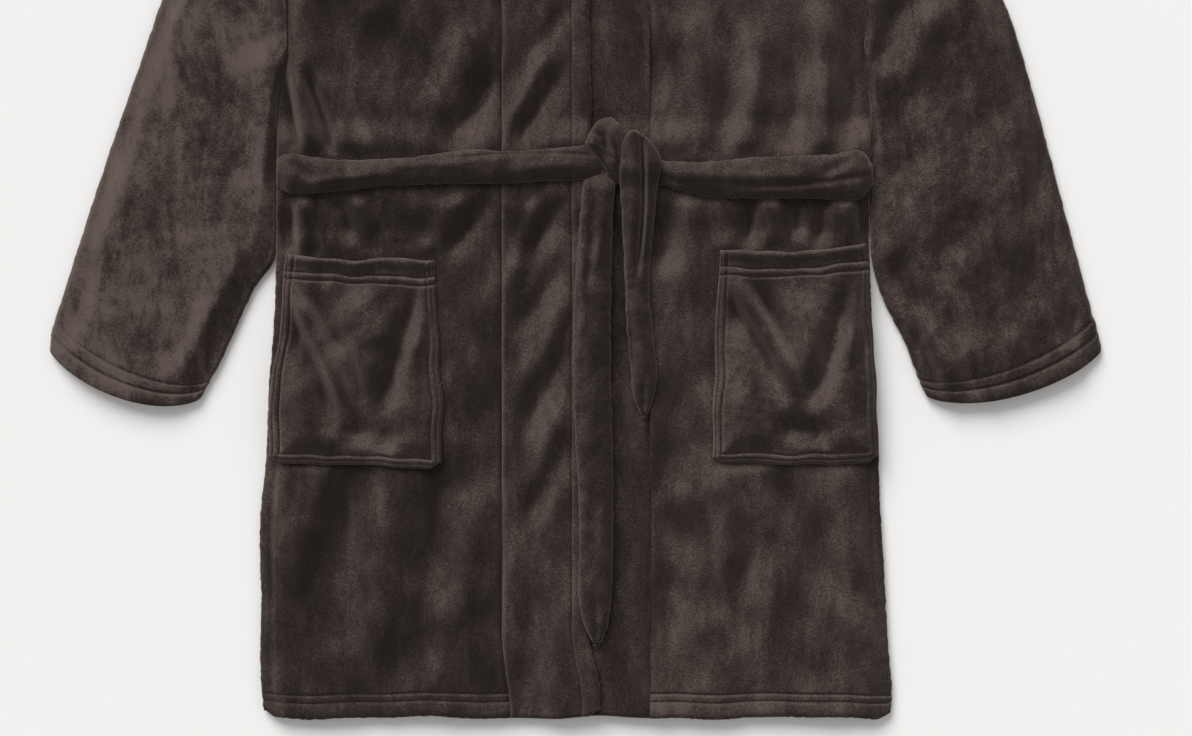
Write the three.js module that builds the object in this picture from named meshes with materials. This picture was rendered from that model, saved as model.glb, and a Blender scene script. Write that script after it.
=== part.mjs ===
// A plush bathrobe laid flat on its back with its belt tied, in millimetres.
// +Z is up off the surface, +Y runs from the hem to the collar, and +X is the wearer's left.
// Heights along the robe are measured from the hem until the whole robe is shifted at the end.
import * as THREE from 'three';
import { mergeVertices } from 'three/addons/utils/BufferGeometryUtils.js';

// Body
const BODY_LENGTH = 1000; // hem to the neck point on the shoulder
const HEM_HALF = 328; // half width across the hem
const HIP_HALF = 308; // half width where the sleeve leaves the side
const CHEST_HALF = 304; // half width at the armhole seam
const UNDERARM_DROP = 333; // neck point down to the underarm
const SHOULDER_DROP = 56; // neck point down to the top of the armhole
const SLEEVE_EXIT_DROP = 528; // neck point down to where the sleeve leaves the side
const NECK_HALF = 105; // half width between the neck points
const NECK_SCOOP = 17; // dip of the back neckline

// Cloth and air
const CLOTH = 4; // one layer of plush
const ROOM = 8; // air between the back and the fronts
const WAIST_ROOM = 5; // the same under the belt
const EDGE_ROLL = 8; // width over which a front rolls down to a seam
const GAP = 0.3; // clearance between neighbouring pieces

// Front bands and lapels
const BAND_WIDTH = 92;
const BAND_OVERLAP = 35; // how far the right edge lies over the left edge
const EDGE_OFFSET = 15; // right edge past the centre line
const BAND_CLIMB = [0.28, 0.56]; // shares of the right band's width where its climb starts and ends
const BREAK_DROP = 230; // neck point down to where the lapels start
const LAPEL_WIDTH = 50; // folded lapel at the shoulder
const LAPEL_FOLD = [60, 130]; // above the break: the fold starts, the fold is whole
const COLLAR_HEIGHT = 46;

// Hems
const HEM_DEPTH = 25;
const HEM_CLOTH = 5.5; // turned and stitched layers
const CUFF_DEPTH = 24;

// Sleeves, as each one lies: distances from the centre line, and heights above the hem
const SLEEVES = {
  right: { side: -1, elbow: [434, 746], cuffOut: [553, 388], cuffIn: [396, 326] },
  left: { side: 1, elbow: [448, 746], cuffOut: [551, 384], cuffIn: [370, 322] },
};
const CAP_REACH = 150; // how far above the elbow point the outer edge starts to bend to the shoulder
const CAP_SLOPE = 0.334; // lean of the outer edge at the elbow point

// Pockets
const POCKET_HEIGHT = 222;
const POCKET_WIDTH = 160;
const POCKET_TOP_DROP = 518; // neck point down to the pocket mouth
const POCKET_BORDER = 8; // stitched edge
const POCKET_ROOM = 5.5; // air behind the pocket
const POCKET_CLOTH = 3.5;
const POCKET_HEM_DEPTH = 36;
const POCKET_HEM_CLOTH = 5;

// Belt
const WAIST_DROP = 435; // neck point down to the middle of the belt
const BELT_WIDTH = 40;
const STRAP = 5; // belt thickness
const LOOP_CLOTH = 1.5;
const LOOP_WIDTH = 12;
const LOOP_WALL = 3;
const LOOP_INSET = 22; // belt loop in from the side edge
const KNOT_RISE = 12; // how much the right run climbs to the knot
const KNOT_HEIGHT = 15;
const KNOT_BEVEL = 4;
const KNOT_LEFT = 11;
const KNOT_SPREAD = 1.95; // width of the knot in belt widths
const KNOT_DROP = 17; // knot's lower edge below the middle of the belt
const LONG_TAIL = 471;
const LONG_TAIL_INSET = 8; // its middle, in from the knot's near side
const SHORT_TAIL = 234;
const SHORT_TAIL_INSET = 3; // its edge, in from the knot's far side
const TAIL_TIP = 26; // length of the tapered end
const TAIL_TIP_WIDTH = 14;

// Neck trim
const HANGER_WIDTH = 66;
const HANGER_LENGTH = 26;
const HANGER_TAPE = 6;
const HANGER_CLOTH = 2;
const HANGER_DROP = 10; // below the neckline at the centre
const LABEL_WIDTH = 50;
const LABEL_HEIGHT = 20;
const LABEL_CLOTH = 0.8;

// Places that follow from the sizes
const UNDERARM = BODY_LENGTH - UNDERARM_DROP;
const SHOULDER = BODY_LENGTH - SHOULDER_DROP;
const SLEEVE_EXIT = BODY_LENGTH - SLEEVE_EXIT_DROP;
const BREAK = BODY_LENGTH - BREAK_DROP;
const WAIST = BODY_LENGTH - WAIST_DROP;
const WAIST_HALF = BELT_WIDTH / 2 + KNOT_RISE + 2; // half height of the level ground under the belt
const WAIST_RAMP = 24;
const WAIST_ROWS = [
  WAIST - WAIST_HALF - WAIST_RAMP,
  WAIST - WAIST_HALF,
  WAIST + WAIST_HALF,
  WAIST + WAIST_HALF + WAIST_RAMP,
];
const BACK_LIFT = LOOP_CLOTH + GAP + STRAP + GAP; // the back over the belt
const OVER_LIFT = CLOTH + GAP; // the right band over the left band
const KNOT_RIGHT = KNOT_LEFT + KNOT_SPREAD * BELT_WIDTH;
const LONG_TAIL_X = KNOT_LEFT + LONG_TAIL_INSET;
const SHORT_TAIL_X = KNOT_RIGHT - SHORT_TAIL_INSET - BELT_WIDTH / 2;
const NECK_BOTTOM = BODY_LENGTH - NECK_SCOOP;
const TRIM_BASE = CLOTH + GAP; // on the inside of the back

const COLOURS = { plush: 0x3e3431, tape: 0x35302e, label: 0xd9d5cc };

const lerp = THREE.MathUtils.lerp;
const clamp = THREE.MathUtils.clamp;
const inverseLerp = THREE.MathUtils.inverseLerp;

// Share of the waist lift at a height: 1 under the belt, 0 past the ramps.
function waistShare(y) {
  const rise = inverseLerp(WAIST_ROWS[0], WAIST_ROWS[1], y);
  const fall = inverseLerp(WAIST_ROWS[3], WAIST_ROWS[2], y);
  return clamp(Math.min(rise, fall), 0, 1);
}

function backBase(y) {
  return BACK_LIFT * waistShare(y);
}

function frontBase(y) {
  return lerp(CLOTH + ROOM, BACK_LIFT + CLOTH + WAIST_ROOM, waistShare(y));
}

// Half width of the body between the hem and the shoulder.
function sideHalf(y) {
  if (y >= UNDERARM) return CHEST_HALF;
  if (y >= SLEEVE_EXIT) return lerp(HIP_HALF, CHEST_HALF, inverseLerp(SLEEVE_EXIT, UNDERARM, y));
  return lerp(HEM_HALF, HIP_HALF, y / SLEEVE_EXIT);
}

// Turns a mirrored solid's triangles round, so that every face points out.
function closed(geometry) {
  geometry.deleteAttribute('normal');
  geometry.deleteAttribute('uv');
  const merged = mergeVertices(geometry, 1e-3);
  const point = merged.getAttribute('position');
  const corners = [new THREE.Vector3(), new THREE.Vector3(), new THREE.Vector3()];
  const index = merged.index.array;
  let volume = 0;
  for (let i = 0; i < index.length; i += 3) {
    corners.forEach((corner, k) => corner.fromBufferAttribute(point, index[i + k]));
    volume += corners[0].dot(corners[1].clone().cross(corners[2]));
  }
  if (volume < 0) {
    for (let i = 0; i < index.length; i += 3) [index[i], index[i + 1]] = [index[i + 1], index[i]];
  }
  merged.computeVertexNormals();
  return merged;
}

// A cloth solid from rows of underside points [x, y, z, thickness].
function clothSolid(rows) {
  const across = rows[0].length - 1;
  const along = rows.length - 1;
  const geometry = new THREE.BoxGeometry(1, 1, 1, across, along, 1);
  const point = geometry.getAttribute('position');
  for (let n = 0; n < point.count; n += 1) {
    const i = Math.round((point.getX(n) + 0.5) * across);
    const j = Math.round((point.getY(n) + 0.5) * along);
    const [x, y, z, thickness] = rows[j][i];
    point.setXYZ(n, x, y, point.getZ(n) > 0 ? z + thickness : z);
  }
  return closed(geometry);
}

// A flat outline in X and Y, raised from z by its thickness.
function slab(outline, z, thickness, bevel = 0) {
  const shape = new THREE.Shape(outline.map(([x, y]) => new THREE.Vector2(x, y)));
  const geometry = new THREE.ExtrudeGeometry(shape, {
    depth: thickness - 2 * bevel,
    bevelEnabled: bevel > 0,
    bevelThickness: bevel,
    bevelSize: bevel,
    bevelOffset: -bevel,
    bevelSegments: 3,
  });
  geometry.translate(0, 0, z + bevel);
  return closed(geometry);
}

// An outline in X and Z, extruded along Y from low to low + width.
function strapSection(outline, low, width) {
  const shape = new THREE.Shape(outline.map(([x, z]) => new THREE.Vector2(x, z)));
  const geometry = new THREE.ExtrudeGeometry(shape, { depth: width, bevelEnabled: false });
  geometry.rotateX(Math.PI / 2);
  geometry.translate(0, low + width, 0);
  return closed(geometry);
}

function material(colour) {
  return new THREE.MeshStandardMaterial({ color: COLOURS[colour], roughness: 0.95, metalness: 0 });
}

const robe = new THREE.Group();

function add(name, geometry, colour = 'plush') {
  const mesh = new THREE.Mesh(geometry, material(colour));
  mesh.name = name;
  robe.add(mesh);
}

// Back panel: one piece of cloth with sloping shoulders and a scooped neckline.
function backPanel() {
  const row = (y) => {
    const half = sideHalf(y);
    return [-half, -NECK_HALF, 0, NECK_HALF, half].map((x) => [x, y, backBase(y), CLOTH]);
  };
  const rows = [HEM_DEPTH + GAP, SLEEVE_EXIT, ...WAIST_ROWS, UNDERARM].map(row);
  const top = [SHOULDER, BODY_LENGTH, NECK_BOTTOM, BODY_LENGTH, SHOULDER];
  rows.push(row(UNDERARM).map(([x], i) => [x, top[i], 0, CLOTH]));
  return clothSolid(rows);
}

function backHem() {
  const row = (y) => [[-sideHalf(y), y, 0, HEM_CLOTH], [sideHalf(y), y, 0, HEM_CLOTH]];
  return clothSolid([row(0), row(HEM_DEPTH)]);
}

// Where a front band meets its front panel, and the band's free edge, at a height above the hem.
function bandSeam(side, y) {
  const level = side < 0 ? BAND_WIDTH - EDGE_OFFSET : BAND_WIDTH - BAND_OVERLAP + EDGE_OFFSET;
  const share = clamp(inverseLerp(BREAK, BODY_LENGTH, y), 0, 1);
  return lerp(level, NECK_HALF + LAPEL_WIDTH / 2, share);
}

function bandEdge(side, y) {
  const level = side < 0 ? -EDGE_OFFSET : EDGE_OFFSET - BAND_OVERLAP;
  const share = clamp(inverseLerp(BREAK, BODY_LENGTH, y), 0, 1);
  return lerp(level, NECK_HALF - LAPEL_WIDTH / 2, share);
}

// Height of the neckline, and of the shoulder seam past the neck point, out from the centre line.
function shoulderLine(x) {
  if (x < NECK_HALF) return lerp(NECK_BOTTOM, BODY_LENGTH, x / NECK_HALF);
  return lerp(BODY_LENGTH, SHOULDER, inverseLerp(NECK_HALF, CHEST_HALF, x));
}

// One front panel, from the side seam to the band seam and up to the shoulder seam.
function frontPanel(side) {
  const closedBase = (y) => backBase(y) + CLOTH + GAP;
  const row = (y, sewnAtSide) => {
    const half = sideHalf(y);
    const base = frontBase(y);
    return [
      [side * half, y, sewnAtSide ? closedBase(y) : base, CLOTH],
      [side * (half - EDGE_ROLL), y, base, CLOTH],
      [side * (bandSeam(side, y) + GAP), y, base, CLOTH],
    ];
  };
  const topRow = (drop, base) => {
    const seam = bandSeam(side, BODY_LENGTH) + GAP;
    return [CHEST_HALF, CHEST_HALF - EDGE_ROLL, seam].map((x) => {
      return [side * x, shoulderLine(x) - drop, base, CLOTH];
    });
  };
  const rows = [HEM_DEPTH + GAP, SLEEVE_EXIT, ...WAIST_ROWS, UNDERARM].map((y) => row(y, true));
  rows.push(row(UNDERARM + EDGE_ROLL, false));
  rows.push(row(BREAK, false));
  rows.push(topRow(EDGE_ROLL, CLOTH + ROOM));
  rows.push(topRow(0, CLOTH + GAP));
  return clothSolid(rows);
}

function frontHem(side) {
  const row = (y) => {
    const half = sideHalf(y);
    return [
      [side * half, y, HEM_CLOTH + GAP, HEM_CLOTH],
      [side * (half - EDGE_ROLL), y, CLOTH + ROOM, HEM_CLOTH],
      [side * (bandSeam(side, y) + GAP), y, CLOTH + ROOM, HEM_CLOTH],
    ];
  };
  return clothSolid([row(0), row(HEM_DEPTH)]);
}

// The band down one front edge. The right one climbs over the left one, and both fold into a
// doubled lapel above the break.
function frontBand(side) {
  const columns = [0, ...BAND_CLIMB, 1];
  const lifts = side < 0 ? [0, 0, OVER_LIFT, OVER_LIFT] : [0, 0, 0, 0];
  const foldShare = (y) => clamp(inverseLerp(BREAK + LAPEL_FOLD[0], BREAK + LAPEL_FOLD[1], y), 0, 1);
  const row = (y) => {
    const fold = foldShare(y);
    return columns.map((share, i) => {
      const x = lerp(bandSeam(side, y), bandEdge(side, y), share);
      return [side * x, y, frontBase(y) + lifts[i] * (1 - fold), CLOTH * (1 + fold)];
    });
  };
  const topRow = (drop, base) => {
    return columns.map((share) => {
      const x = lerp(bandSeam(side, BODY_LENGTH), bandEdge(side, BODY_LENGTH), share);
      return [side * x, shoulderLine(x) - drop, base, 2 * CLOTH];
    });
  };
  const rows = [0, ...WAIST_ROWS, BREAK, BREAK + LAPEL_FOLD[0], BREAK + LAPEL_FOLD[1]].map(row);
  rows.push(topRow(EDGE_ROLL, CLOTH + ROOM));
  rows.push(topRow(0, CLOTH + GAP));
  return clothSolid(rows);
}

// The folded back-neck part of the collar, an arch from one neck point to the other.
function collar() {
  const reach = NECK_HALF + LAPEL_WIDTH / 2;
  const steps = 12; // even, so that one row lies on the centre line
  const rows = [];
  for (let n = 0; n <= steps; n += 1) {
    const turn = Math.PI * (1 - n / steps);
    const share = Math.cos(turn);
    const low = [NECK_HALF * share, shoulderLine(NECK_HALF * Math.abs(share)) + GAP];
    const foot = shoulderLine(reach) + GAP;
    const high = [reach * share, foot + (BODY_LENGTH + COLLAR_HEIGHT - foot) * Math.sin(turn)];
    rows.push([low, high].map(([px, py]) => [px, py, 0, 2 * CLOTH]));
  }
  return clothSolid(rows);
}

// A sleeve's inner and outer edges, from the armhole (0) to the cuff (1). Below the underarm the
// inner edge stands off from the side by the belt that turns round it.
const STAND_OFF_SHARE = 0.1;

function sleeveInner({ side, cuffIn }, t) {
  const beltClear = BELT_WALL + STRAP + GAP - sideHalf(BELT_LOW + BELT_WIDTH);
  const standOff = lerp(GAP, beltClear, Math.min(t / STAND_OFF_SHARE, 1));
  if (t <= 0.5) {
    const y = lerp(UNDERARM, SLEEVE_EXIT, t * 2);
    return [side * (sideHalf(y) + standOff), y];
  }
  const share = t * 2 - 1;
  const start = sideHalf(SLEEVE_EXIT) + standOff;
  return [side * lerp(start, cuffIn[0], share), lerp(SLEEVE_EXIT, cuffIn[1], share)];
}

function sleeveOuter({ side, elbow, cuffOut }, t) {
  const capEnd = 0.4;
  if (t <= capEnd) {
    const start = new THREE.Vector2(CHEST_HALF + GAP, SHOULDER);
    const bend = new THREE.Vector2(elbow[0] - CAP_REACH * CAP_SLOPE, elbow[1] + CAP_REACH);
    const cap = new THREE.QuadraticBezierCurve(start, bend, new THREE.Vector2(elbow[0], elbow[1]));
    const place = cap.getPoint(t / capEnd);
    return [side * place.x, place.y];
  }
  const share = inverseLerp(capEnd, 1, t);
  return [side * lerp(elbow[0], cuffOut[0], share), lerp(elbow[1], cuffOut[1], share)];
}

// A point on the line from the inner edge to the outer edge, given by its distance from one end.
function sleevePlace(sleeve, t, distance, fromOuter = false) {
  const inner = new THREE.Vector2(...sleeveInner(sleeve, t));
  const outer = new THREE.Vector2(...sleeveOuter(sleeve, t));
  const start = fromOuter ? outer : inner;
  const end = fromOuter ? inner : outer;
  const direction = end.clone().sub(start).normalize();
  return start.clone().addScaledVector(direction, distance);
}

// Share of the way down the sleeve where the stitched cuff starts.
function cuffStart({ cuffIn }) {
  const reach = Math.hypot(cuffIn[0] - sideHalf(SLEEVE_EXIT), cuffIn[1] - SLEEVE_EXIT);
  return 1 - CUFF_DEPTH / (2 * reach);
}

function sleeveStations(sleeve) {
  const gapShare = GAP / CUFF_DEPTH * (1 - cuffStart(sleeve));
  return [0, STAND_OFF_SHARE, 0.2, 0.3, 0.4, 0.5, 0.75, cuffStart(sleeve) - gapShare];
}

function sleeveUnder(sleeve) {
  const rows = sleeveStations(sleeve).map((t) => {
    const ends = [sleevePlace(sleeve, t, 0), sleevePlace(sleeve, t, 0, true)];
    return ends.map((place) => [place.x, place.y, 0, CLOTH]);
  });
  return clothSolid(rows);
}

function sleeveUpper(sleeve) {
  const rows = sleeveStations(sleeve).map((t) => [
    [sleevePlace(sleeve, t, 0), CLOTH + GAP],
    [sleevePlace(sleeve, t, EDGE_ROLL), CLOTH + ROOM],
    [sleevePlace(sleeve, t, EDGE_ROLL, true), CLOTH + ROOM],
    [sleevePlace(sleeve, t, 0, true), CLOTH + GAP],
  ].map(([place, base]) => [place.x, place.y, base, CLOTH]));
  return clothSolid(rows);
}

// The stitched cuff, a flattened ring of doubled cloth.
function cuffHem(sleeve) {
  const width = 100; // nominal: each side keeps its distance from its own edge
  const top = CLOTH + ROOM + HEM_CLOTH;
  const shape = new THREE.Shape([
    new THREE.Vector2(0, 0),
    new THREE.Vector2(width, 0),
    new THREE.Vector2(width, top / 2),
    new THREE.Vector2(width - EDGE_ROLL, top),
    new THREE.Vector2(EDGE_ROLL, top),
    new THREE.Vector2(0, top / 2),
  ]);
  shape.holes.push(new THREE.Path([
    new THREE.Vector2(EDGE_ROLL, HEM_CLOTH),
    new THREE.Vector2(EDGE_ROLL + 2, CLOTH + ROOM),
    new THREE.Vector2(width - EDGE_ROLL - 2, CLOTH + ROOM),
    new THREE.Vector2(width - EDGE_ROLL, HEM_CLOTH),
  ]));
  const geometry = new THREE.ExtrudeGeometry(shape, { depth: 1, bevelEnabled: false });
  const point = geometry.getAttribute('position');
  for (let n = 0; n < point.count; n += 1) {
    const across = point.getX(n);
    const t = lerp(cuffStart(sleeve), 1, point.getZ(n));
    const fromOuter = across > width / 2;
    const place = sleevePlace(sleeve, t, fromOuter ? width - across : across, fromOuter);
    point.setXYZ(n, place.x, place.y, point.getY(n));
  }
  return closed(geometry);
}

// Pocket columns from the side to the centre: place, and share of the pocket's room.
function pocketRow(side, y, room, thickness) {
  const outer = sideHalf(y) - EDGE_ROLL - GAP;
  const inner = sideHalf(POCKET_TOP) - EDGE_ROLL - GAP - POCKET_WIDTH;
  const base = CLOTH + ROOM + CLOTH + GAP;
  return [
    [outer, 0],
    [outer - POCKET_BORDER, 0],
    [outer - 2 * POCKET_BORDER, room],
    [inner + 2 * POCKET_BORDER, room],
    [inner + POCKET_BORDER, 0],
    [inner, 0],
  ].map(([x, lift]) => [side * x, y, base + lift, thickness]);
}

const POCKET_TOP = BODY_LENGTH - POCKET_TOP_DROP;

function pocket(side) {
  const bottom = POCKET_TOP - POCKET_HEIGHT;
  const top = POCKET_TOP - POCKET_HEM_DEPTH - GAP;
  return clothSolid([
    pocketRow(side, bottom, 0, POCKET_CLOTH),
    pocketRow(side, bottom + POCKET_BORDER, 0, POCKET_CLOTH),
    pocketRow(side, bottom + 2 * POCKET_BORDER, POCKET_ROOM, POCKET_CLOTH),
    pocketRow(side, top, POCKET_ROOM, POCKET_CLOTH),
  ]);
}

function pocketHem(side) {
  return clothSolid([
    pocketRow(side, POCKET_TOP - POCKET_HEM_DEPTH, POCKET_ROOM, POCKET_HEM_CLOTH),
    pocketRow(side, POCKET_TOP, POCKET_ROOM, POCKET_HEM_CLOTH),
  ]);
}

// Heights of the belt: behind the back, over a front, and over the overlapped bands.
const BELT_BEHIND = LOOP_CLOTH + GAP;
const BELT_FRONT = BACK_LIFT + CLOTH + WAIST_ROOM + CLOTH + GAP;
const BELT_OVER = BELT_FRONT + OVER_LIFT;
const BELT_LOW = WAIST - BELT_WIDTH / 2;
const BELT_WALL = sideHalf(BELT_LOW) + GAP; // the inside of the belt where it turns round the side

// Where the right run starts and ends its climb over the right band, just ahead of the band's own.
function bandClimb(step) {
  const lead = 3;
  return BAND_WIDTH * (1 - BAND_CLIMB[step]) - EDGE_OFFSET + lead;
}

function beltBackRun() {
  const reach = BELT_WALL + STRAP;
  const outline = [
    [-reach, BELT_BEHIND],
    [reach, BELT_BEHIND],
    [reach, BELT_BEHIND + STRAP],
    [-reach, BELT_BEHIND + STRAP],
  ];
  return strapSection(outline, BELT_LOW, BELT_WIDTH);
}

// A front run: up round the side edge, across the front, and up to the knot.
function beltFrontRun(side, climbStart, climbEnd, end, rise) {
  const wall = BELT_WALL;
  const turnLow = BELT_BEHIND + STRAP + GAP;
  const shoulder = BELT_FRONT - EDGE_ROLL / 2;
  const under = [
    [wall, turnLow],
    [wall, shoulder],
    [wall - EDGE_ROLL, BELT_FRONT],
    [climbStart, BELT_FRONT],
    [climbEnd, BELT_OVER],
    [end, BELT_OVER],
  ];
  const over = [
    [end, BELT_OVER + STRAP],
    [climbEnd + 1, BELT_OVER + STRAP],
    [climbStart + 1, BELT_FRONT + STRAP],
    [wall - EDGE_ROLL + 1, BELT_FRONT + STRAP],
    [wall + STRAP, shoulder + STRAP / 2],
    [wall + STRAP, turnLow],
  ];
  const outline = [...under, ...over].map(([x, z]) => [side * x, z]);
  const geometry = strapSection(outline, BELT_LOW, BELT_WIDTH);
  const point = geometry.getAttribute('position');
  for (let n = 0; n < point.count; n += 1) {
    const share = inverseLerp(wall, end, side * point.getX(n));
    point.setY(n, point.getY(n) + rise * clamp(share, 0, 1));
  }
  return geometry;
}

const KNOT_LOW = WAIST - KNOT_DROP;

function beltKnot() {
  const width = KNOT_RIGHT - KNOT_LEFT;
  const body = BELT_WIDTH + KNOT_RISE;
  const outline = [
    [0, 0.15],
    [0.07, 0],
    [0.93, 0],
    [1, 0.15],
    [0.97, 1],
    [0.88, 1.22],
    [0.65, 1.2],
    [0.5, 1.03],
    [0.44, 1.4],
    [0.28, 1.46],
    [0.12, 1.32],
    [0.02, 0.95],
  ].map(([across, up]) => [KNOT_LEFT + width * across, KNOT_LOW + body * up]);
  return slab(outline, BELT_OVER, KNOT_HEIGHT, KNOT_BEVEL);
}

// A hanging end of the belt, from the knot to its tapered tip; height gives the underside.
function beltTail(x, length, height, topWidth) {
  const start = KNOT_LOW - GAP;
  const tip = start - length;
  const row = (y, width) => [-width / 2, width / 2].map((dx) => [x + dx, y, height(y), STRAP]);
  const rows = WAIST_ROWS.filter((y) => y < start - 1).reverse().map((y) => row(y, BELT_WIDTH - 1));
  return clothSolid([
    row(start, topWidth),
    ...rows,
    row(tip + TAIL_TIP, BELT_WIDTH - 1),
    row(tip, TAIL_TIP_WIDTH),
  ]);
}

function longTailBase(y) {
  return frontBase(y) + CLOTH + GAP + OVER_LIFT;
}

// The short tail leaves the knot's face, then drops on to the left band.
function shortTailBase(y) {
  const knotShare = clamp(inverseLerp(WAIST_ROWS[0], KNOT_LOW, y), 0, 1);
  return frontBase(y) + CLOTH + GAP + OVER_LIFT * knotShare;
}

// A belt loop: a flat staple of cloth under the belt, sewn to the side of the back.
function beltLoop(side) {
  const x = side * (sideHalf(WAIST) - LOOP_INSET) - LOOP_WIDTH / 2;
  const reach = BELT_WIDTH / 2 + GAP;
  const top = BACK_LIFT - GAP;
  const shape = new THREE.Shape([
    [-reach - LOOP_WALL, 0],
    [reach + LOOP_WALL, 0],
    [reach + LOOP_WALL, top],
    [reach, top],
    [reach, LOOP_CLOTH],
    [-reach, LOOP_CLOTH],
    [-reach, top],
    [-reach - LOOP_WALL, top],
  ].map(([y, z]) => new THREE.Vector2(y, z)));
  const geometry = new THREE.ExtrudeGeometry(shape, { depth: LOOP_WIDTH, bevelEnabled: false });
  geometry.rotateX(Math.PI / 2);
  geometry.rotateZ(Math.PI / 2);
  geometry.translate(x, WAIST, 0);
  return closed(geometry);
}

// The loop that the robe is hung up by, sewn in below the back neckline.
function hangingLoop() {
  const top = NECK_BOTTOM - HANGER_DROP;
  const low = top - HANGER_LENGTH;
  const outer = HANGER_WIDTH / 2;
  const inner = outer - HANGER_TAPE;
  const corner = HANGER_TAPE;
  return slab([
    [-outer, top],
    [-outer, low + corner],
    [-outer + corner, low],
    [outer - corner, low],
    [outer, low + corner],
    [outer, top],
    [inner, top],
    [inner, low + corner + 2],
    [inner - 2, low + corner],
    [-inner + 2, low + corner],
    [-inner, low + corner + 2],
    [-inner, top],
  ], TRIM_BASE, HANGER_CLOTH);
}

function neckLabel() {
  const top = NECK_BOTTOM - HANGER_DROP - HANGER_LENGTH - 2;
  const half = LABEL_WIDTH / 2;
  const low = top - LABEL_HEIGHT;
  return slab([[-half, low], [half, low], [half, top], [-half, top]], TRIM_BASE, LABEL_CLOTH);
}

add('back_panel', backPanel());
add('back_hem', backHem());
for (const [name, sleeve] of Object.entries(SLEEVES)) {
  const side = sleeve.side;
  add(`${name}_front_panel`, frontPanel(side));
  add(`${name}_front_hem`, frontHem(side));
  add(`${name}_front_band`, frontBand(side));
  add(`${name}_sleeve_upper`, sleeveUpper(sleeve));
  add(`${name}_sleeve_under`, sleeveUnder(sleeve));
  add(`${name}_cuff_hem`, cuffHem(sleeve));
  add(`${name}_pocket`, pocket(side));
  add(`${name}_pocket_hem`, pocketHem(side));
  add(`${name}_belt_loop`, beltLoop(side));
}
add('collar', collar());
add('belt_back_run', beltBackRun());
add('belt_right_run', beltFrontRun(-1, bandClimb(0), bandClimb(1), -(KNOT_LEFT - GAP), KNOT_RISE));
add('belt_left_run', beltFrontRun(1, KNOT_RIGHT + 22, KNOT_RIGHT + 4, KNOT_RIGHT + GAP, 0));
add('belt_knot', beltKnot());
add('belt_long_tail', beltTail(LONG_TAIL_X, LONG_TAIL, longTailBase, BELT_WIDTH - 7));
add('belt_short_tail', beltTail(SHORT_TAIL_X, SHORT_TAIL, shortTailBase, BELT_WIDTH - 1));
add('hanging_loop', hangingLoop(), 'tape');
add('neck_label', neckLabel(), 'label');

// The origin is under the back, half way up the body.
robe.position.y = -BODY_LENGTH / 2;

export default robe;
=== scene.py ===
# %% [markdown]
# # A plush bathrobe, laid flat
# The robe lies on its back with the belt tied, so almost every piece is a sheet of thick brushed
# fleece. The frame holds each piece's size and place. This file makes the cloth around it: soft
# folds, turned and stitched hems, rounded edges and a pile that catches the light.

# %% Load the frame
import math

import bpy
import numpy as np
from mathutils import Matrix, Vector
from mathutils.bvhtree import BVHTree


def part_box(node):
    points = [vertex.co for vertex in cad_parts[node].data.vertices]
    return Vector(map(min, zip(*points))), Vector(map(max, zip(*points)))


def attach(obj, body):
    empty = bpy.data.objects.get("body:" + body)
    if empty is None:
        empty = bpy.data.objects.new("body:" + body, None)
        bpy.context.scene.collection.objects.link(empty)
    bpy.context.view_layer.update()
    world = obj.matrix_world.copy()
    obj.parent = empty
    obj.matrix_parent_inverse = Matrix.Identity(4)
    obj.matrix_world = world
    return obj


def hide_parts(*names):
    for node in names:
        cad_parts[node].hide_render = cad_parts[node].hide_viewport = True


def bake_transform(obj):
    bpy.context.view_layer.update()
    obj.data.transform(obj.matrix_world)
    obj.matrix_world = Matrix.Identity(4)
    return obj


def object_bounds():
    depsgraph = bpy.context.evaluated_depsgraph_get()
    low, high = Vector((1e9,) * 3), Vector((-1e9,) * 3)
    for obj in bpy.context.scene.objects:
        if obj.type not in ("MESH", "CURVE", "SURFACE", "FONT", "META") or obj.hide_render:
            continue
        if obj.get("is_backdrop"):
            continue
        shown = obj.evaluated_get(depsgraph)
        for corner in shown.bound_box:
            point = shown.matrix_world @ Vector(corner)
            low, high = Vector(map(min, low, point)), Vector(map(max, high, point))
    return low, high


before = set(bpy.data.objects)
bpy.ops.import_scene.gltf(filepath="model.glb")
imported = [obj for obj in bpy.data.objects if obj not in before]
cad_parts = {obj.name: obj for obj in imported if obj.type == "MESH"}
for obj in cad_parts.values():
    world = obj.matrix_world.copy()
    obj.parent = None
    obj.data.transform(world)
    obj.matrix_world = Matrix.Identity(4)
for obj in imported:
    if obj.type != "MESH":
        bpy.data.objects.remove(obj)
cad_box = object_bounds()

# %% [markdown]
# ## Working units
# A garment is easier to think of in millimetres, with heights measured up from the hem. The frame
# is in metres, so every place is turned into the frame's own coordinates at the last moment.

# %% Units and places from the frame
MM = 0.001
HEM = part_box("back_hem")[0].y / MM
CLOTH = 4.0
WAIST = (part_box("belt_back_run")[0].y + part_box("belt_back_run")[1].y) / 2 / MM - HEM
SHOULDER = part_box("right_sleeve_upper")[1].y / MM - HEM
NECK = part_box("right_front_band")[1].y / MM - HEM
COLLAR_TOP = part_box("collar")[1].y / MM - HEM
NECK_HALF = 105.0
NECK_DIP = 17.0
NECK_CURVE = 1.6
COLLAR_HALF = 130.0
COLLAR_HEIGHT = 62.0
CHEST_HALF = 304.0
ARMHOLE = abs(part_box("right_sleeve_upper")[1].x) / MM
FRONT_LOW = 12.0
BACK_LIFT = 7.1
WAIST_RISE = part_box("right_front_panel")[1].z / MM - CLOTH - FRONT_LOW
GAP = 0.3
OVER_LIFT = CLOTH + GAP
print(
    "waist", round(WAIST), "shoulder", round(SHOULDER), "neck", round(NECK), "rise",
    round(WAIST_RISE, 1),
)


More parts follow.
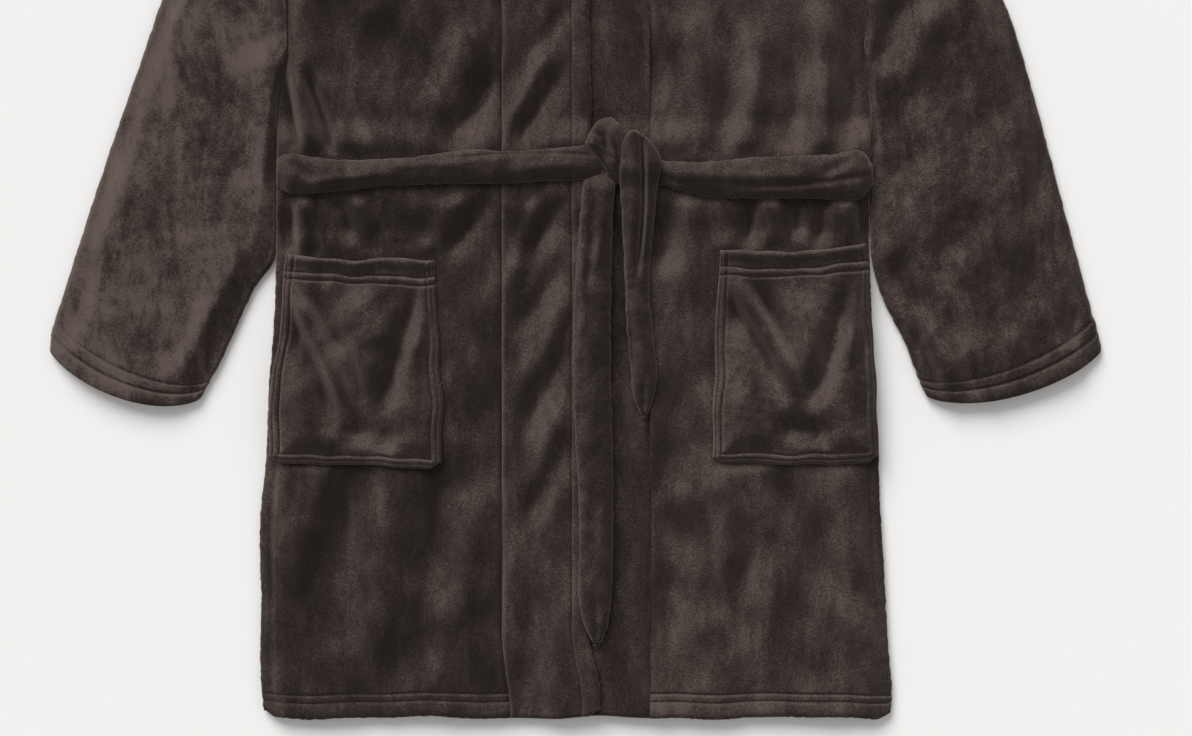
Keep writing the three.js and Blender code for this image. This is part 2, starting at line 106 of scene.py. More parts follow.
def smooth(low, high, value):
    """0 below low, 1 above high, and a soft S between."""
    t = np.clip((value - low) / (high - low), 0.0, 1.0)
    return t * t * (3 - 2 * t)


def waist_share(y):
    """1 where the belt goes round, and 0 above and below it."""
    return smooth(WAIST - 62, WAIST - 30, y) * (1 - smooth(WAIST + 30, WAIST + 62, y))


# %% [markdown]
# ## Camera
# A garment laid flat is best seen from straight above with a long lens, so that nothing leans.

# %% Camera
VIEW_WIDTH = 1.2397
VIEW_X = 0.0208
VIEW_Y = 364.0
FRONT_TOP = 0.016
LENS = 85.0
SENSOR = 36.0
camera_data = bpy.data.cameras.new("overhead")
camera_data.lens = LENS
camera_data.sensor_width = SENSOR
camera = bpy.data.objects.new("overhead", camera_data)
bpy.context.scene.collection.objects.link(camera)
camera.location = (VIEW_X, (HEM + VIEW_Y) * MM, FRONT_TOP + VIEW_WIDTH * LENS / SENSOR)
bpy.context.scene.camera = camera
print("camera height", round(camera.location.z, 3))

# %% [markdown]
# ## Soft random fields
# Cloth is never quite flat. A handful of long waves that run in different directions adds up to
# gentle, irregular ground, and it is the same each time because the directions come from a fixed
# seed.


# %% Wander and fold strokes
WAVES = 30
WAVE_SUM = 5.2


def wander(x, y, size, seed):
    """A smooth field of about -1 to 1, with bumps of roughly the given size."""
    draw = np.random.default_rng(seed)
    total = np.zeros_like(x, dtype=float)
    for _ in range(WAVES):
        angle, phase = draw.uniform(0, math.tau), draw.uniform(0, math.tau)
        scale = draw.uniform(0.45, 2.4)
        k = math.tau / (size * scale)
        total += np.sin(k * (x * math.cos(angle) + y * math.sin(angle)) + phase)
    return total / WAVE_SUM


def stroke(x, y, fold):
    """One fold: a ridge, or a valley below zero height, that fades at its ends."""
    x0, y0, x1, y1, width, height = fold
    dx, dy = x1 - x0, y1 - y0
    length = math.hypot(dx, dy)
    t = ((x - x0) * dx + (y - y0) * dy) / length**2
    across = ((x - x0) * dy - (y - y0) * dx) / length
    bend = 0.10 * length * (t - 0.5) ** 2
    body = np.exp(-(((across - bend) / width) ** 2))
    ends = smooth(-0.25, 0.25, t) * (1 - smooth(0.75, 1.25, t))
    return height * body * ends


def folds(x, y, strokes):
    """All of a piece's folds together."""
    return sum(stroke(x, y, fold) for fold in strokes)


sample = wander(np.linspace(0, 500, 200), np.zeros(200), 60, 1)
print("wander runs from", round(sample.min(), 2), "to", round(sample.max(), 2))


# %% [markdown]
# ## The folds of this robe
# Each fold is set down as it would be smoothed in by hand: from where, to where, how wide and how
# high. They gather where the belt pulls the fronts in, and run down from it.

# %% Fold strokes of the fronts
FRONT_FOLDS = [
    # right front, above the belt
    (-303, 672, -288, 590, 7, -3.5), (-292, 670, -272, 588, 9, 3.0),
    (-279, 668, -250, 586, 8, -2.6), (-262, 664, -236, 590, 10, 2.0),
    (-210, 720, -170, 650, 26, -2.2), (-82, 668, -128, 596, 16, -3.2),
    (-100, 730, -150, 620, 22, 2.2), (-14, 672, -58, 597, 12, -3.0),
    (-30, 690, -70, 610, 10, 2.6), (-8, 742, -40, 690, 12, -1.8),
    # right front, below the belt
    (-300, 538, -297, 480, 8, -3.0), (-284, 540, -280, 488, 8, 2.6),
    (-248, 540, -232, 500, 8, -2.6), (-226, 540, -214, 505, 9, 2.0),
    (-92, 540, -136, 482, 15, -3.4), (-112, 545, -158, 470, 14, 2.4),
    (-14, 541, -50, 478, 13, -3.4), (-36, 540, -66, 452, 11, 2.8),
    (-16, 470, -56, 404, 12, -2.2), (-12, 430, -48, 350, 12, 2.4),
    (-14, 380, -48, 300, 13, -2.6), (-16, 320, -44, 236, 12, 2.0),
    (-14, 285, -50, 200, 14, -2.8), (-120, 262, -160, 150, 24, -3.0),
    (-96, 240, -118, 110, 20, 2.2), (-276, 248, -286, 140, 16, 2.2),
    (-236, 240, -246, 90, 20, -2.2), (-196, 230, -206, 60, 18, 2.0),
    (-60, 170, -66, 50, 14, 1.8),
    # left front, above the belt
    (60, 742, 92, 640, 14, -2.2), (128, 735, 138, 600, 14, 2.2), (160, 740, 156, 606, 16, -2.4),
    (192, 728, 182, 600, 12, 2.2), (226, 735, 232, 600, 15, -2.2), (258, 735, 262, 596, 10, 2.6),
    (284, 735, 288, 600, 9, -2.2),
    # left front, below the belt
    (96, 536, 92, 470, 12, -2.2), (122, 536, 116, 440, 12, 2.0), (184, 536, 180, 492, 8, -2.8),
    (202, 538, 206, 496, 11, 1.5), (228, 538, 232, 502, 8, -2.0), (260, 540, 255, 492, 8, -2.8),
    (282, 540, 286, 496, 10, 1.4), (144, 262, 162, 140, 14, 2.6), (112, 210, 146, 116, 16, -3.2),
    (214, 246, 264, 140, 20, -2.6), (186, 250, 214, 90, 16, 2.2), (286, 240, 294, 60, 16, 2.2),
    (84, 400, 80, 250, 14, 1.8), (96, 300, 100, 60, 16, -1.8),
]
FOLD_GAIN = 2.2


def front_folds(x, y):
    """Folds and unevenness, flattened where the belt holds the fronts down."""
    adjusted = 1 - 0.85 * smooth(34, 18, np.abs(y - WAIST))
    under_pocket = smooth(138, 150, np.abs(x)) * smooth(254, 264, y) * (1 - smooth(480, 492, y))
    ground = 1.5 * wander(x, 0.5 * y, 62, 3) + 0.3 * wander(x, 0.7 * y, 26, 4)
    return (FOLD_GAIN * folds(x, y, FRONT_FOLDS) + ground) * adjusted * (1 - 0.7 * under_pocket)


print(len(FRONT_FOLDS), "folds in the fronts")


# %% [markdown]
# ## Outlines
# The sides of the robe bow in a little at the waist and spread to the hem. The two sides don't
# lie quite alike, as with any real garment that is smoothed out by hand.

# %% Outline curves
RIGHT_SIDE = (
    [0, 20, 170, 227, 257, 341, 425, 490, 590, 655, 700, 760],
    [326, 328, 330, 328, 325, 320, 315, 312, 312, 309, 306, ARMHOLE],
)
LEFT_SIDE = (
    [0, 20, 40, 85, 158, 247, 331, 404, 456, 492, 655, 700, 760],
    [325, 331, 328, 326, 320, 317, 312, 309, 306, 306, 307, 305, ARMHOLE],
)


def side_half(side, y):
    """Half width of the robe on one side, with the corners of its outline eased."""
    heights, widths = RIGHT_SIDE if side < 0 else LEFT_SIDE
    near = [np.interp(y + step, heights, widths) for step in (-18, -9, 0, 9, 18)]
    return sum(near) / len(near)


def shoulder_line(x):
    """Height of the shoulder seam, and inside it the neckline, out from the centre line."""
    out = np.abs(x)
    slope = np.interp(out, [NECK_HALF, ARMHOLE], [NECK, SHOULDER])
    dip = NECK_DIP * np.clip(1 - out / NECK_HALF, 0, 1) ** NECK_CURVE
    return np.where(out < NECK_HALF, NECK - dip, slope)


BREAK = 770.0
BAND_SEAM_OUT = 77.0
BAND_EDGE_TOP = 80.0


def lapel_share(y):
    """0 up to where the lapel starts to open, and 1 at the neck."""
    return np.clip((y - BREAK) / (NECK - BREAK), 0, 1)


def band_seam(side, y):
    """Where the band is sewn to the front, out from the centre line."""
    level = BAND_SEAM_OUT - 9 * smooth(90, 0, y) if side < 0 else BAND_SEAM_OUT
    return level + (COLLAR_HALF - level) * lapel_share(y)


def band_edge(side, y):
    """The free edge, out from the centre line on the band's own side."""
    level = -15 - 11 * smooth(90, 20, y) if side < 0 else -20
    return level + (BAND_EDGE_TOP - level) * lapel_share(y)


print(
    "half width at the hem", round(float(side_half(-1, 0.0))), "and waist",
    round(float(side_half(-1, WAIST))),
)


# %% [markdown]
# ## How a sheet is made
# A grid is laid out at its stations, its points are moved to their places, and a Solidify
# modifier gives it thickness. A vertex group thins the sheet to nothing at its edges, which
# leaves the soft rounded edge of turned plush and not a cut one. Cloth simulation could drape it
# too, but a robe that lies flat has hardly any drape, and a shaped grid keeps each seam where the
# frame has it.

# %% Sheet helpers
EDGE_STATIONS = (0.0, 0.35, 0.9, 1.7, 2.8, 4.2)


def stations(length, step, fine=(), ends=(True, True)):
    """Places along a length: evenly spaced, closer at the ends and round each stitched row."""
    found = list(np.linspace(0, length, max(3, int(round(length / step)) + 1)))
    if ends[0]:
        found += list(EDGE_STATIONS)
    if ends[1]:
        found += [length - s for s in EDGE_STATIONS]
    for row in fine:
        found += [row - 2.4, row - 1.4, row - 0.7, row, row + 0.7, row + 1.4, row + 2.4]
    found = sorted(s for s in found if 0 <= s <= length)
    kept = [0.0]
    for s in found:
        if s - kept[-1] > 0.3:
            kept.append(s)
    kept[-1] = length
    return np.array(kept)


def rounding(share):
    """A quarter circle: 0 at an edge, and 1 from one radius in."""
    return np.sqrt(1 - (1 - np.clip(share, 0, 1)) ** 2)


def groove(distance, depth=1.3, width=1.1):
    """A stitched row pulls the pile down in a narrow valley."""
    return -depth * np.exp(-((distance / width) ** 2))


plain, stitched = stations(100, 5.0), stations(100, 5.0, (20,))
print("rows on a 100 mm sheet", len(plain), "and with a stitched row", len(stitched))


# %% Selecting, and a grid moved into place
def nearest(*distances):
    """The smallest of several distances, at each point."""
    return np.minimum.reduce(np.broadcast_arrays(*distances))


def deselect():
    """Leaves edit mode and clears the selection."""
    if bpy.context.object and bpy.context.object.mode != "OBJECT":
        bpy.ops.object.mode_set(mode="OBJECT")
    bpy.ops.object.select_all(action="DESELECT")


def grid(name, across, along, place):
    """A grid whose points are moved to place(across, along), in millimetres from the hem."""
    deselect()
    nu, nv = len(across), len(along)
    bpy.ops.mesh.primitive_grid_add(x_subdivisions=nu - 1, y_subdivisions=nv - 1, size=2)
    piece = bpy.context.object
    piece.name = piece.data.name = name
    count = len(piece.data.vertices)
    co = np.empty(count * 3)
    piece.data.vertices.foreach_get("co", co)
    co = co.reshape(-1, 3)
    i = np.rint((co[:, 0] + 1) / 2 * (nu - 1)).astype(int)
    j = np.rint((co[:, 1] + 1) / 2 * (nv - 1)).astype(int)
    x, y, z, edge = place(np.asarray(across)[i], np.asarray(along)[j])
    co = np.stack([x, y + HEM, z], 1) * MM
    piece.data.vertices.foreach_set("co", co.ravel())
    piece.data.update()
    return piece, np.broadcast_to(edge, x.shape)


print("nearest of 3, 1 and 2 is", nearest(3, 1, 2))


# %% Thickness, shading and facing
def soft_shade(piece):
    """Smooth shading over all faces."""
    piece.data.polygons.foreach_set("use_smooth", [True] * len(piece.data.polygons))
    return piece


def solidify(piece, thickness, offset, group=""):
    """Gives a surface thickness: to both sides at offset 0, and inward at offset -1."""
    solid = piece.modifiers.new("thickness", "SOLIDIFY")
    solid.thickness = thickness * MM
    solid.offset = offset
    solid.vertex_group = group
    bpy.context.view_layer.objects.active = piece
    bpy.ops.object.modifier_apply(modifier=solid.name)
    return soft_shade(piece)


def thicken(piece, edge, thickness=CLOTH, radius=3.0, least=0.06):
    """Gives a sheet its thickness, rounded off within radius of its edges."""
    weight = np.maximum(rounding(edge / radius), least)
    group = piece.vertex_groups.new(name="thickness")
    for n, w in enumerate(weight):
        group.add([n], float(w), "REPLACE")
    solidify(piece, thickness, 0, group.name)
    piece.vertex_groups.clear()
    return piece


def edit_all(piece, action="SELECT"):
    """Opens one piece in edit mode, with all of it selected or deselected."""
    deselect()
    piece.select_set(True)
    bpy.context.view_layer.objects.active = piece
    bpy.ops.object.mode_set(mode="EDIT")
    bpy.ops.mesh.select_all(action=action)


def face_out(piece):
    """Turns all faces to point out."""
    edit_all(piece)
    bpy.ops.mesh.normals_make_consistent(inside=False)
    bpy.ops.object.mode_set(mode="OBJECT")
    return piece


print("thickness near an edge", [round(float(rounding(share)), 2) for share in (0, 0.25, 0.5, 1)])

# %% [markdown]
# ## Plush
# Coral fleece is a knitted ground with a dense brushed pile. Three things make it look like
# plush: broad patches that are lighter or darker where a hand has brushed the pile one way or the
# other, a fine slanting grain of tufts, and a sheen at grazing angles. The patches and the grain
# are one node group with its own values for each material, and the sheen is set on each shader.


# %% Node helpers
def node(tree, kind, **values):
    """A new node with its settings."""
    made = tree.nodes.new(kind)
    for key, value in values.items():
        setattr(made, key, value)
    return made


def math_node(tree, operation, first, second):
    made = node(tree, "ShaderNodeMath", operation=operation)
    for socket, value in zip(made.inputs, (first, second)):
        if isinstance(value, (int, float)):
            socket.default_value = value
        else:
            tree.links.new(value, socket)
    return made.outputs[0]


def noise(tree, vector, scale, detail=2.0, roughness=0.5, distortion=0.0):
    made = node(tree, "ShaderNodeTexNoise")
    tree.links.new(vector, made.inputs["Vector"])
    made.inputs["Scale"].default_value = scale
    made.inputs["Detail"].default_value = detail
    made.inputs["Roughness"].default_value = roughness
    made.inputs["Distortion"].default_value = distortion
    return made.outputs["Fac"]


def mapping(tree, vector, scale=(1, 1, 1), turn=(0, 0, 0), shift=(0, 0, 0)):
    made = node(tree, "ShaderNodeMapping")
    tree.links.new(vector, made.inputs["Vector"])
    made.inputs["Scale"].default_value = scale
    made.inputs["Rotation"].default_value = turn
    made.inputs["Location"].default_value = shift
    return made.outputs["Vector"]


print("node trees so far", len(bpy.data.node_groups))


# %% The pile node group
def pile_group():
    """Broad brushed patches and a fine grain of tufts, as a shade and a height."""
    tree = bpy.data.node_groups.new("brushed pile", "ShaderNodeTree")
    face = tree.interface
    face.new_socket("Place", in_out="INPUT", socket_type="NodeSocketVector")
    for name, value in (("Patch contrast", 1.0), ("Grain contrast", 1.0), ("Patch offset", 0.0)):
        face.new_socket(name, in_out="INPUT", socket_type="NodeSocketFloat").default_value = value
    face.new_socket("Shade", in_out="OUTPUT", socket_type="NodeSocketFloat")
    face.new_socket("Height", in_out="OUTPUT", socket_type="NodeSocketFloat")
    come = node(tree, "NodeGroupInput")
    go = node(tree, "NodeGroupOutput")
    place = come.outputs["Place"]
    streaks = noise(tree, mapping(tree, place, (1.6, 0.55, 1.0)), 19.0, 6.0, 0.62, 0.7)
    blots = noise(tree, mapping(tree, place, (1.3, 0.6, 1.0), (0, 0, 0.2)), 48.0, 4.0, 0.65, 0.8)
    fine = noise(tree, place, 150.0, 2.0, 0.6, 0.4)
    tufts = noise(tree, mapping(tree, place, (1.0, 1.9, 1.6), (0, 0, 0.7)), 430.0, 3.0, 0.72)
    hairs = noise(tree, mapping(tree, place, (1.0, 2.6, 1.6), (0, 0, 0.45)), 1500.0, 1.0, 0.6)

    def centred(value, share):
        return math_node(tree, "MULTIPLY", math_node(tree, "SUBTRACT", value, 0.5), share)

    patch = math_node(tree, "ADD", centred(streaks, 1.0), centred(blots, 0.5))
    patch = math_node(tree, "ADD", patch, centred(fine, 0.22))
    patch = math_node(tree, "MULTIPLY", patch, come.outputs["Patch contrast"])
    patch = math_node(tree, "ADD", patch, come.outputs["Patch offset"])
    grain = math_node(tree, "ADD", centred(tufts, 1.7), centred(hairs, 1.3))
    grain = math_node(tree, "MULTIPLY", grain, come.outputs["Grain contrast"])
    shade = math_node(tree, "ADD", math_node(tree, "ADD", patch, grain), 0.5)
    tree.links.new(shade, go.inputs["Shade"])
    height = math_node(tree, "ADD", centred(tufts, 1.0), centred(hairs, 0.6))
    height = math_node(tree, "ADD", height, centred(blots, 1.2))
    tree.links.new(height, go.inputs["Height"])
    return tree


PILE = pile_group()
print("pile group", len(PILE.nodes), "nodes")


# %% [markdown]
# ## Materials
# Every plush material uses the pile group at its own contrast and place, so no two panels match
# patch for patch. Thread, tape and label share a weave group. A tilt-shading attribute, set on
# each mesh from its normals, paints light and shade into the colour: lighter where a slope faces
# the light, darker where it faces away and on steep sides.


# %% Colours
def srgb(*levels):
    """A linear colour from sRGB levels of 0 to 255."""
    parts = [v / 255 for v in levels]
    return tuple(
        p / 12.92 if p <= 0.04045 else ((p + 0.055) / 1.055) ** 2.4 for p in parts
    ) + (1.0,)


def ramp(tree, value, stops):
    """Colours a value from dark to light."""
    made = node(tree, "ShaderNodeValToRGB")
    tree.links.new(value, made.inputs["Fac"])
    while len(made.color_ramp.elements) < len(stops):
        made.color_ramp.elements.new(0.5)
    for element, (place, colour) in zip(made.color_ramp.elements, stops):
        element.position = place
        element.color = colour
    return made.outputs["Color"]


PLUSH_STOPS = [
    (0.0, srgb(24, 18, 17)),
    (0.30, srgb(36, 28, 26)),
    (0.52, srgb(49, 40, 37)),
    (0.74, srgb(66, 56, 52)),
    (1.0, srgb(92, 80, 75)),
]

print(len(PLUSH_STOPS), "plush colours, the darkest", np.round(PLUSH_STOPS[0][1], 3))


# %% The plush material
def new_material(name):
    """A material with its node tree and its shader."""
    material = bpy.data.materials.new(name)
    material.use_nodes = True
    return material, material.node_tree, material.node_tree.nodes["Principled BSDF"]


def rough_and_bump(tree, effect, roughest, smoothest, strength, depth):
    """Links an effect's shade to the roughness, and its height to a bump."""
    shader = tree.nodes["Principled BSDF"]
    rough = node(tree, "ShaderNodeMapRange")
    tree.links.new(effect.outputs["Shade"], rough.inputs["Value"])
    rough.inputs["To Min"].default_value = roughest
    rough.inputs["To Max"].default_value = smoothest
    tree.links.new(rough.outputs["Result"], shader.inputs["Roughness"])
    bump = node(tree, "ShaderNodeBump")
    bump.inputs["Strength"].default_value = strength
    bump.inputs["Distance"].default_value = depth
    tree.links.new(effect.outputs["Height"], bump.inputs["Height"])
    tree.links.new(bump.outputs["Normal"], shader.inputs["Normal"])


def plush(name, contrast=1.0, grain=1.0, offset=0.0, shift=(0, 0, 0)):
    """Brushed fleece in which each piece has its own patches, and leans lighter or darker."""
    material, tree, shader = new_material(name)
    coordinates = node(tree, "ShaderNodeTexCoord").outputs["Object"]
    pile = node(tree, "ShaderNodeGroup", node_tree=PILE)
    tree.links.new(mapping(tree, coordinates, shift=shift), pile.inputs["Place"])
    pile.inputs["Patch contrast"].default_value = contrast
    pile.inputs["Grain contrast"].default_value = grain
    # Painted light and shade: the tilt-shading attribute from each point's normal, added to the
    # patch offset.
    tilt_shading = node(tree, "ShaderNodeAttribute", attribute_name="tilt_shading")
    adjusted = math_node(tree, "ADD", tilt_shading.outputs["Fac"], offset)
    tree.links.new(adjusted, pile.inputs["Patch offset"])
    tree.links.new(ramp(tree, pile.outputs["Shade"], PLUSH_STOPS), shader.inputs["Base Color"])
    rough_and_bump(tree, pile, roughest=0.98, smoothest=0.78, strength=0.75, depth=0.0014)
    shader.inputs["Sheen Weight"].default_value = 0.7
    shader.inputs["Sheen Roughness"].default_value = 0.42
    shader.inputs["Sheen Tint"].default_value = srgb(190, 172, 162)
    shader.inputs["Specular IOR Level"].default_value = 0.16
    return material


print("plush uses", PILE.name)


# %% The weave node group and material
def weave_group():
    """Two sets of fine ribs at right angles, as a plain weave has."""
    tree = bpy.data.node_groups.new("plain weave", "ShaderNodeTree")
    tree.interface.new_socket("Place", in_out="INPUT", socket_type="NodeSocketVector")
    tree.interface.new_socket(
        "Fineness", in_out="INPUT", socket_type="NodeSocketFloat",
    ).default_value = 500.0
    tree.interface.new_socket("Shade", in_out="OUTPUT", socket_type="NodeSocketFloat")
    tree.interface.new_socket("Height", in_out="OUTPUT", socket_type="NodeSocketFloat")
    come, go = node(tree, "NodeGroupInput"), node(tree, "NodeGroupOutput")
    waves = []
    for turn in (0.0, math.pi / 2):
        wave = node(tree, "ShaderNodeTexWave", wave_type="BANDS", bands_direction="X")
        tree.links.new(come.outputs["Fineness"], wave.inputs["Scale"])
        wave.inputs["Distortion"].default_value = 0.6
        tree.links.new(
            mapping(tree, come.outputs["Place"], turn=(0, 0, turn)), wave.inputs["Vector"],
        )
        waves.append(wave.outputs["Fac"])
    weave = math_node(tree, "MULTIPLY", waves[0], waves[1])
    wear = math_node(tree, "MULTIPLY", noise(tree, come.outputs["Place"], 260.0), 0.5)
    tree.links.new(math_node(tree, "ADD", weave, wear), go.inputs["Shade"])
    tree.links.new(weave, go.inputs["Height"])
    return tree


WEAVE = weave_group()


def woven(name, dark, light, fineness, roughness):
    """Tape, label and thread share one weave, each at its own fineness."""
    material, tree, shader = new_material(name)
    weave = node(tree, "ShaderNodeGroup", node_tree=WEAVE)
    tree.links.new(node(tree, "ShaderNodeTexCoord").outputs["Object"], weave.inputs["Place"])
    weave.inputs["Fineness"].default_value = fineness
    tree.links.new(
        ramp(tree, weave.outputs["Shade"], [(0.2, dark), (1.0, light)]),
        shader.inputs["Base Color"],
    )
    rough_and_bump(tree, weave, roughness + 0.12, roughness, strength=0.5, depth=0.0003)
    return material


print("weave group", len(WEAVE.nodes), "nodes")

# %% The materials of this robe
BODY_PLUSH = plush("body plush")
RIGHT_PLUSH = plush("right front plush", contrast=1.25, offset=-0.10)
LEFT_PLUSH = plush("left front plush", offset=0.07, shift=(0.2, 0.8, 0))
SLEEVE_PLUSH = {
    -1: plush("right sleeve plush", contrast=1.8, offset=0.28, shift=(0.4, 0.1, 0)),
    1: plush("left sleeve plush", contrast=1.5, offset=0.03, shift=(0.6, 0.4, 0)),
}
BAND_PLUSH = plush("band plush", contrast=1.1, shift=(0.1, 0.7, 0))
POCKET_PLUSH = plush("pocket plush", contrast=1.0, offset=0.08, shift=(0.9, 0.3, 0))
BELT_PLUSH = plush("belt plush", contrast=0.9, offset=-0.12, shift=(0.3, 0.5, 0))
THREAD = woven("stitching thread", srgb(22, 16, 15), srgb(58, 48, 45), 900.0, 0.7)
TAPE = woven("hanging loop tape", srgb(30, 24, 22), srgb(72, 62, 58), 420.0, 0.75)
LABEL = woven("blank label", srgb(188, 182, 172), srgb(224, 220, 212), 520.0, 0.55)
print(len(bpy.data.materials), "materials and", len(bpy.data.node_groups), "node groups")


# %% Finishing a piece
def finish_piece(piece, material, slot, body, *nodes):
    """Gives a piece its material and its body, and hides the frame nodes that it stands for. slot
    is not used.
    """
    piece.data.materials.clear()
    piece.data.materials.append(material)
    if body:
        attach(piece, body)
    if nodes:
        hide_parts(*nodes)
    print(piece.name, len(piece.data.vertices), "points")
    return piece


# Gain and limit of the painted light and shade set from each point's tilt.
TILT_SHADING_GAIN, TILT_SHADING_CAP = 1.5, 0.32


def paint_tilt_shading(piece):
    """Painted light and shade: colour is lightened where a point's normal faces the light, and
    darkened where it faces away or stands steep.
    """
    count = len(piece.data.vertices)
    normal = np.empty(count * 3)
    piece.data.vertices.foreach_get("normal", normal)
    normal = normal.reshape(-1, 3)
    facing = np.clip(normal[:, 1] - normal[:, 0] * 0.35, -0.6, 0.6) * np.sign(normal[:, 2] + 1e-6)
    tilt_shading = np.clip(facing * TILT_SHADING_GAIN, -TILT_SHADING_CAP, TILT_SHADING_CAP) - 0.25 * normal[:, 0] ** 2
    attribute = piece.data.attributes.new("tilt_shading", "FLOAT", "POINT")
    attribute.data.foreach_set("value", tilt_shading.astype(np.float32))
    return piece


print("nap is kept within", TILT_SHADING_CAP)

# %% [markdown]
# ## The back
# The back is one wide panel with its hem turned up and stitched twice. It lifts over the belt
# that runs behind it at the waist, and everything else lies on it.


# %% The back
def back_base(y):
    """Underside of the back, lifted where the belt runs behind it."""
    return BACK_LIFT * waist_share(y)


BACK_LENGTH = 966.0
HEM_ROWS = (16.0, 24.0)


def fuzz(along, seed, size=7.0, reach=0.35):
    """Uneven pile at an outline, as a sideways shift."""
    return reach * wander(along, 0 * along, size, seed)


def back_place(u, v):
    y = v / BACK_LENGTH * np.minimum(shoulder_line(u * CHEST_HALF), NECK - 2)
    half = np.where(u < 0, side_half(-1, y), side_half(1, y))
    x = u * (half - 1.5)
    hem_line = 1.2 * np.sin(x / 37) * smooth(40, 0, y)
    y = v / BACK_LENGTH * np.minimum(shoulder_line(x), NECK - 2) + hem_line
    y = y + 7 * smooth(12, 0, (1 - np.abs(u)) * half) * smooth(20, 0, v)
    edge = nearest((1 - np.abs(u)) * half, v, BACK_LENGTH - v)
    z = back_base(y) + CLOTH / 2 + 0.3 * (1 + np.clip(wander(x, y, 40, 11), -1, 3)) + 0.05
    for row in HEM_ROWS:
        z = z - groove(v - row, 0.5)
    return x, y, z, edge


back_across = np.concatenate(
    [[-1, -0.997, -0.992, -0.986], np.linspace(-0.98, 0.98, 150), [0.986, 0.992, 0.997, 1]]
)
back, back_edge = grid("back", back_across, stations(BACK_LENGTH, 5.0, HEM_ROWS), back_place)
face_out(thicken(back, back_edge))
paint_tilt_shading(back)
finish_piece(back, BODY_PLUSH, "plush", "robe", "back_panel", "back_hem")

# %% [markdown]
# ## The fronts
# Each front is cut to the band seam on one side and to the side seam and armhole on the other. It
# rests on the back with room for a body between, so its edge dips at the side and shoulder seams.


# %% The fronts
def front_base(x, y, side_edge):
    """Middle of the cloth: high over the body, low where it is sewn to the back."""
    seam_level = back_base(y) + CLOTH + GAP
    high = FRONT_LOW + WAIST_RISE * waist_share(y)
    return seam_level + (high - seam_level) * smooth(-3, 26, side_edge) + CLOTH / 2


FRONT_WIDTH = 232.0
FRONT_LENGTH = 960.0
SIDE_SEAM_IN = 11.0


def hem_wave(x):
    """The hem isn't quite straight."""
    return 1.3 * np.sin(x / 31 + 0.6) + 0.8 * np.sin(x / 13.7)


def front_place(side):
    def place(u, v):
        y = v
        for _ in range(3):
            seam, out = band_seam(side, y), side_half(side, y)
            x = seam + (out - seam) * u / FRONT_WIDTH
            y = v / FRONT_LENGTH * shoulder_line(x)
        x = x + (0.8 * np.sin(y / 23 + side) + fuzz(y, 15 + side)) * smooth(30, 0, FRONT_WIDTH - u)
        corner = 6 * smooth(12, 0, FRONT_WIDTH - u) * smooth(20, 0, v)
        rough = fuzz(x, 18 + side) * smooth(12, 0, v)
        y = y + hem_wave(side * x) * smooth(60, 0, v) + corner + rough
        side_edge = np.minimum(FRONT_WIDTH - u, FRONT_LENGTH - v)
        edge = nearest(u + (0.6 if side < 0 else 2.4), FRONT_WIDTH - u, v, FRONT_LENGTH - v)
        x = side * x
        z = front_base(x, y, side_edge) + front_folds(x, y) * smooth(0, 18, side_edge)
        z = z + 1.3 * np.exp(-(((v - 5) / 9) ** 2))
        for row in HEM_ROWS:
            z = z + groove(v - row, 1.2 if row == HEM_ROWS[0] else 1.9)
        below_belt = (1 - smooth(WAIST - 26, WAIST - 18, y)) * smooth(0, 40, v)
        z = z + groove(FRONT_WIDTH - u - SIDE_SEAM_IN, 1.7, 2.0) * below_belt
        z = z + groove(u, 1.5 if side < 0 else 0.4, 2.6)
        return x, y, np.maximum(z, back_base(y) + CLOTH + 2.1), edge

    return place


fronts = {}
for side, name in ((-1, "right_front"), (1, "left_front")):
    across = stations(FRONT_WIDTH, 2.9)
    along = stations(FRONT_LENGTH, 3.0, HEM_ROWS)
    piece, edge = grid(name, across, along, front_place(side))
    face_out(thicken(piece, edge))
    paint_tilt_shading(piece)
    finish_piece(
        piece, RIGHT_PLUSH if side < 0 else LEFT_PLUSH, "plush", "robe", name + "_panel",
        name + "_hem",
    )
    fronts[side] = piece

# %% [markdown]
# ## The front bands
# A band is a long strip folded double and sewn down the whole opening and up to the collar. The
# wearer's right band lies over the left one. A row of topstitching runs near its free edge and
# holds it flat.

# %% The bands
BAND_LENGTH = 983.0
BAND_GRID = 92.0
TOPSTITCH_IN = 19.0


def band_place(side):
    over = side < 0

    def place(u, v):
        y = v / BAND_LENGTH * NECK
        seam, edge_at = band_seam(side, y), band_edge(side, y)
        x = seam + (edge_at - seam) * u / BAND_GRID
        bottom_corner = 7 * smooth(14, 0, BAND_GRID - u) * smooth(12, 0, v)
        y = y + (hem_wave(side * x) * smooth(60, 0, v)) + bottom_corner
        x = x + (
            0.9 * np.sin(y / 27) + 0.5 * np.sin(y / 9.5) + fuzz(y, 25)
        ) * smooth(24, 0, BAND_GRID - u)
        share = u / BAND_GRID
        z = FRONT_LOW + WAIST_RISE * waist_share(y) + CLOTH / 2
        if over:
            z = z + OVER_LIFT * smooth(0.28, 0.60, share) + 2.6 * smooth(0.72, 0.96, share)
        z = z + 2.0 * smooth(880, 915, y)
        sx = side * x
        z = z + front_folds(sx, y) * (0.75 if over else 0.35) * smooth(0, 6, u)
        z = z + groove(u, 1.5 if over else 0.4, 2.6)
        z = z + groove(BAND_GRID - TOPSTITCH_IN - u, 1.9, 1.4) * (1 - smooth(845, 870, y))
        edge = nearest(u + (0.6 if over else 2.8), BAND_GRID - u, v, BAND_LENGTH - v)
        return sx, y, z, edge

    return place


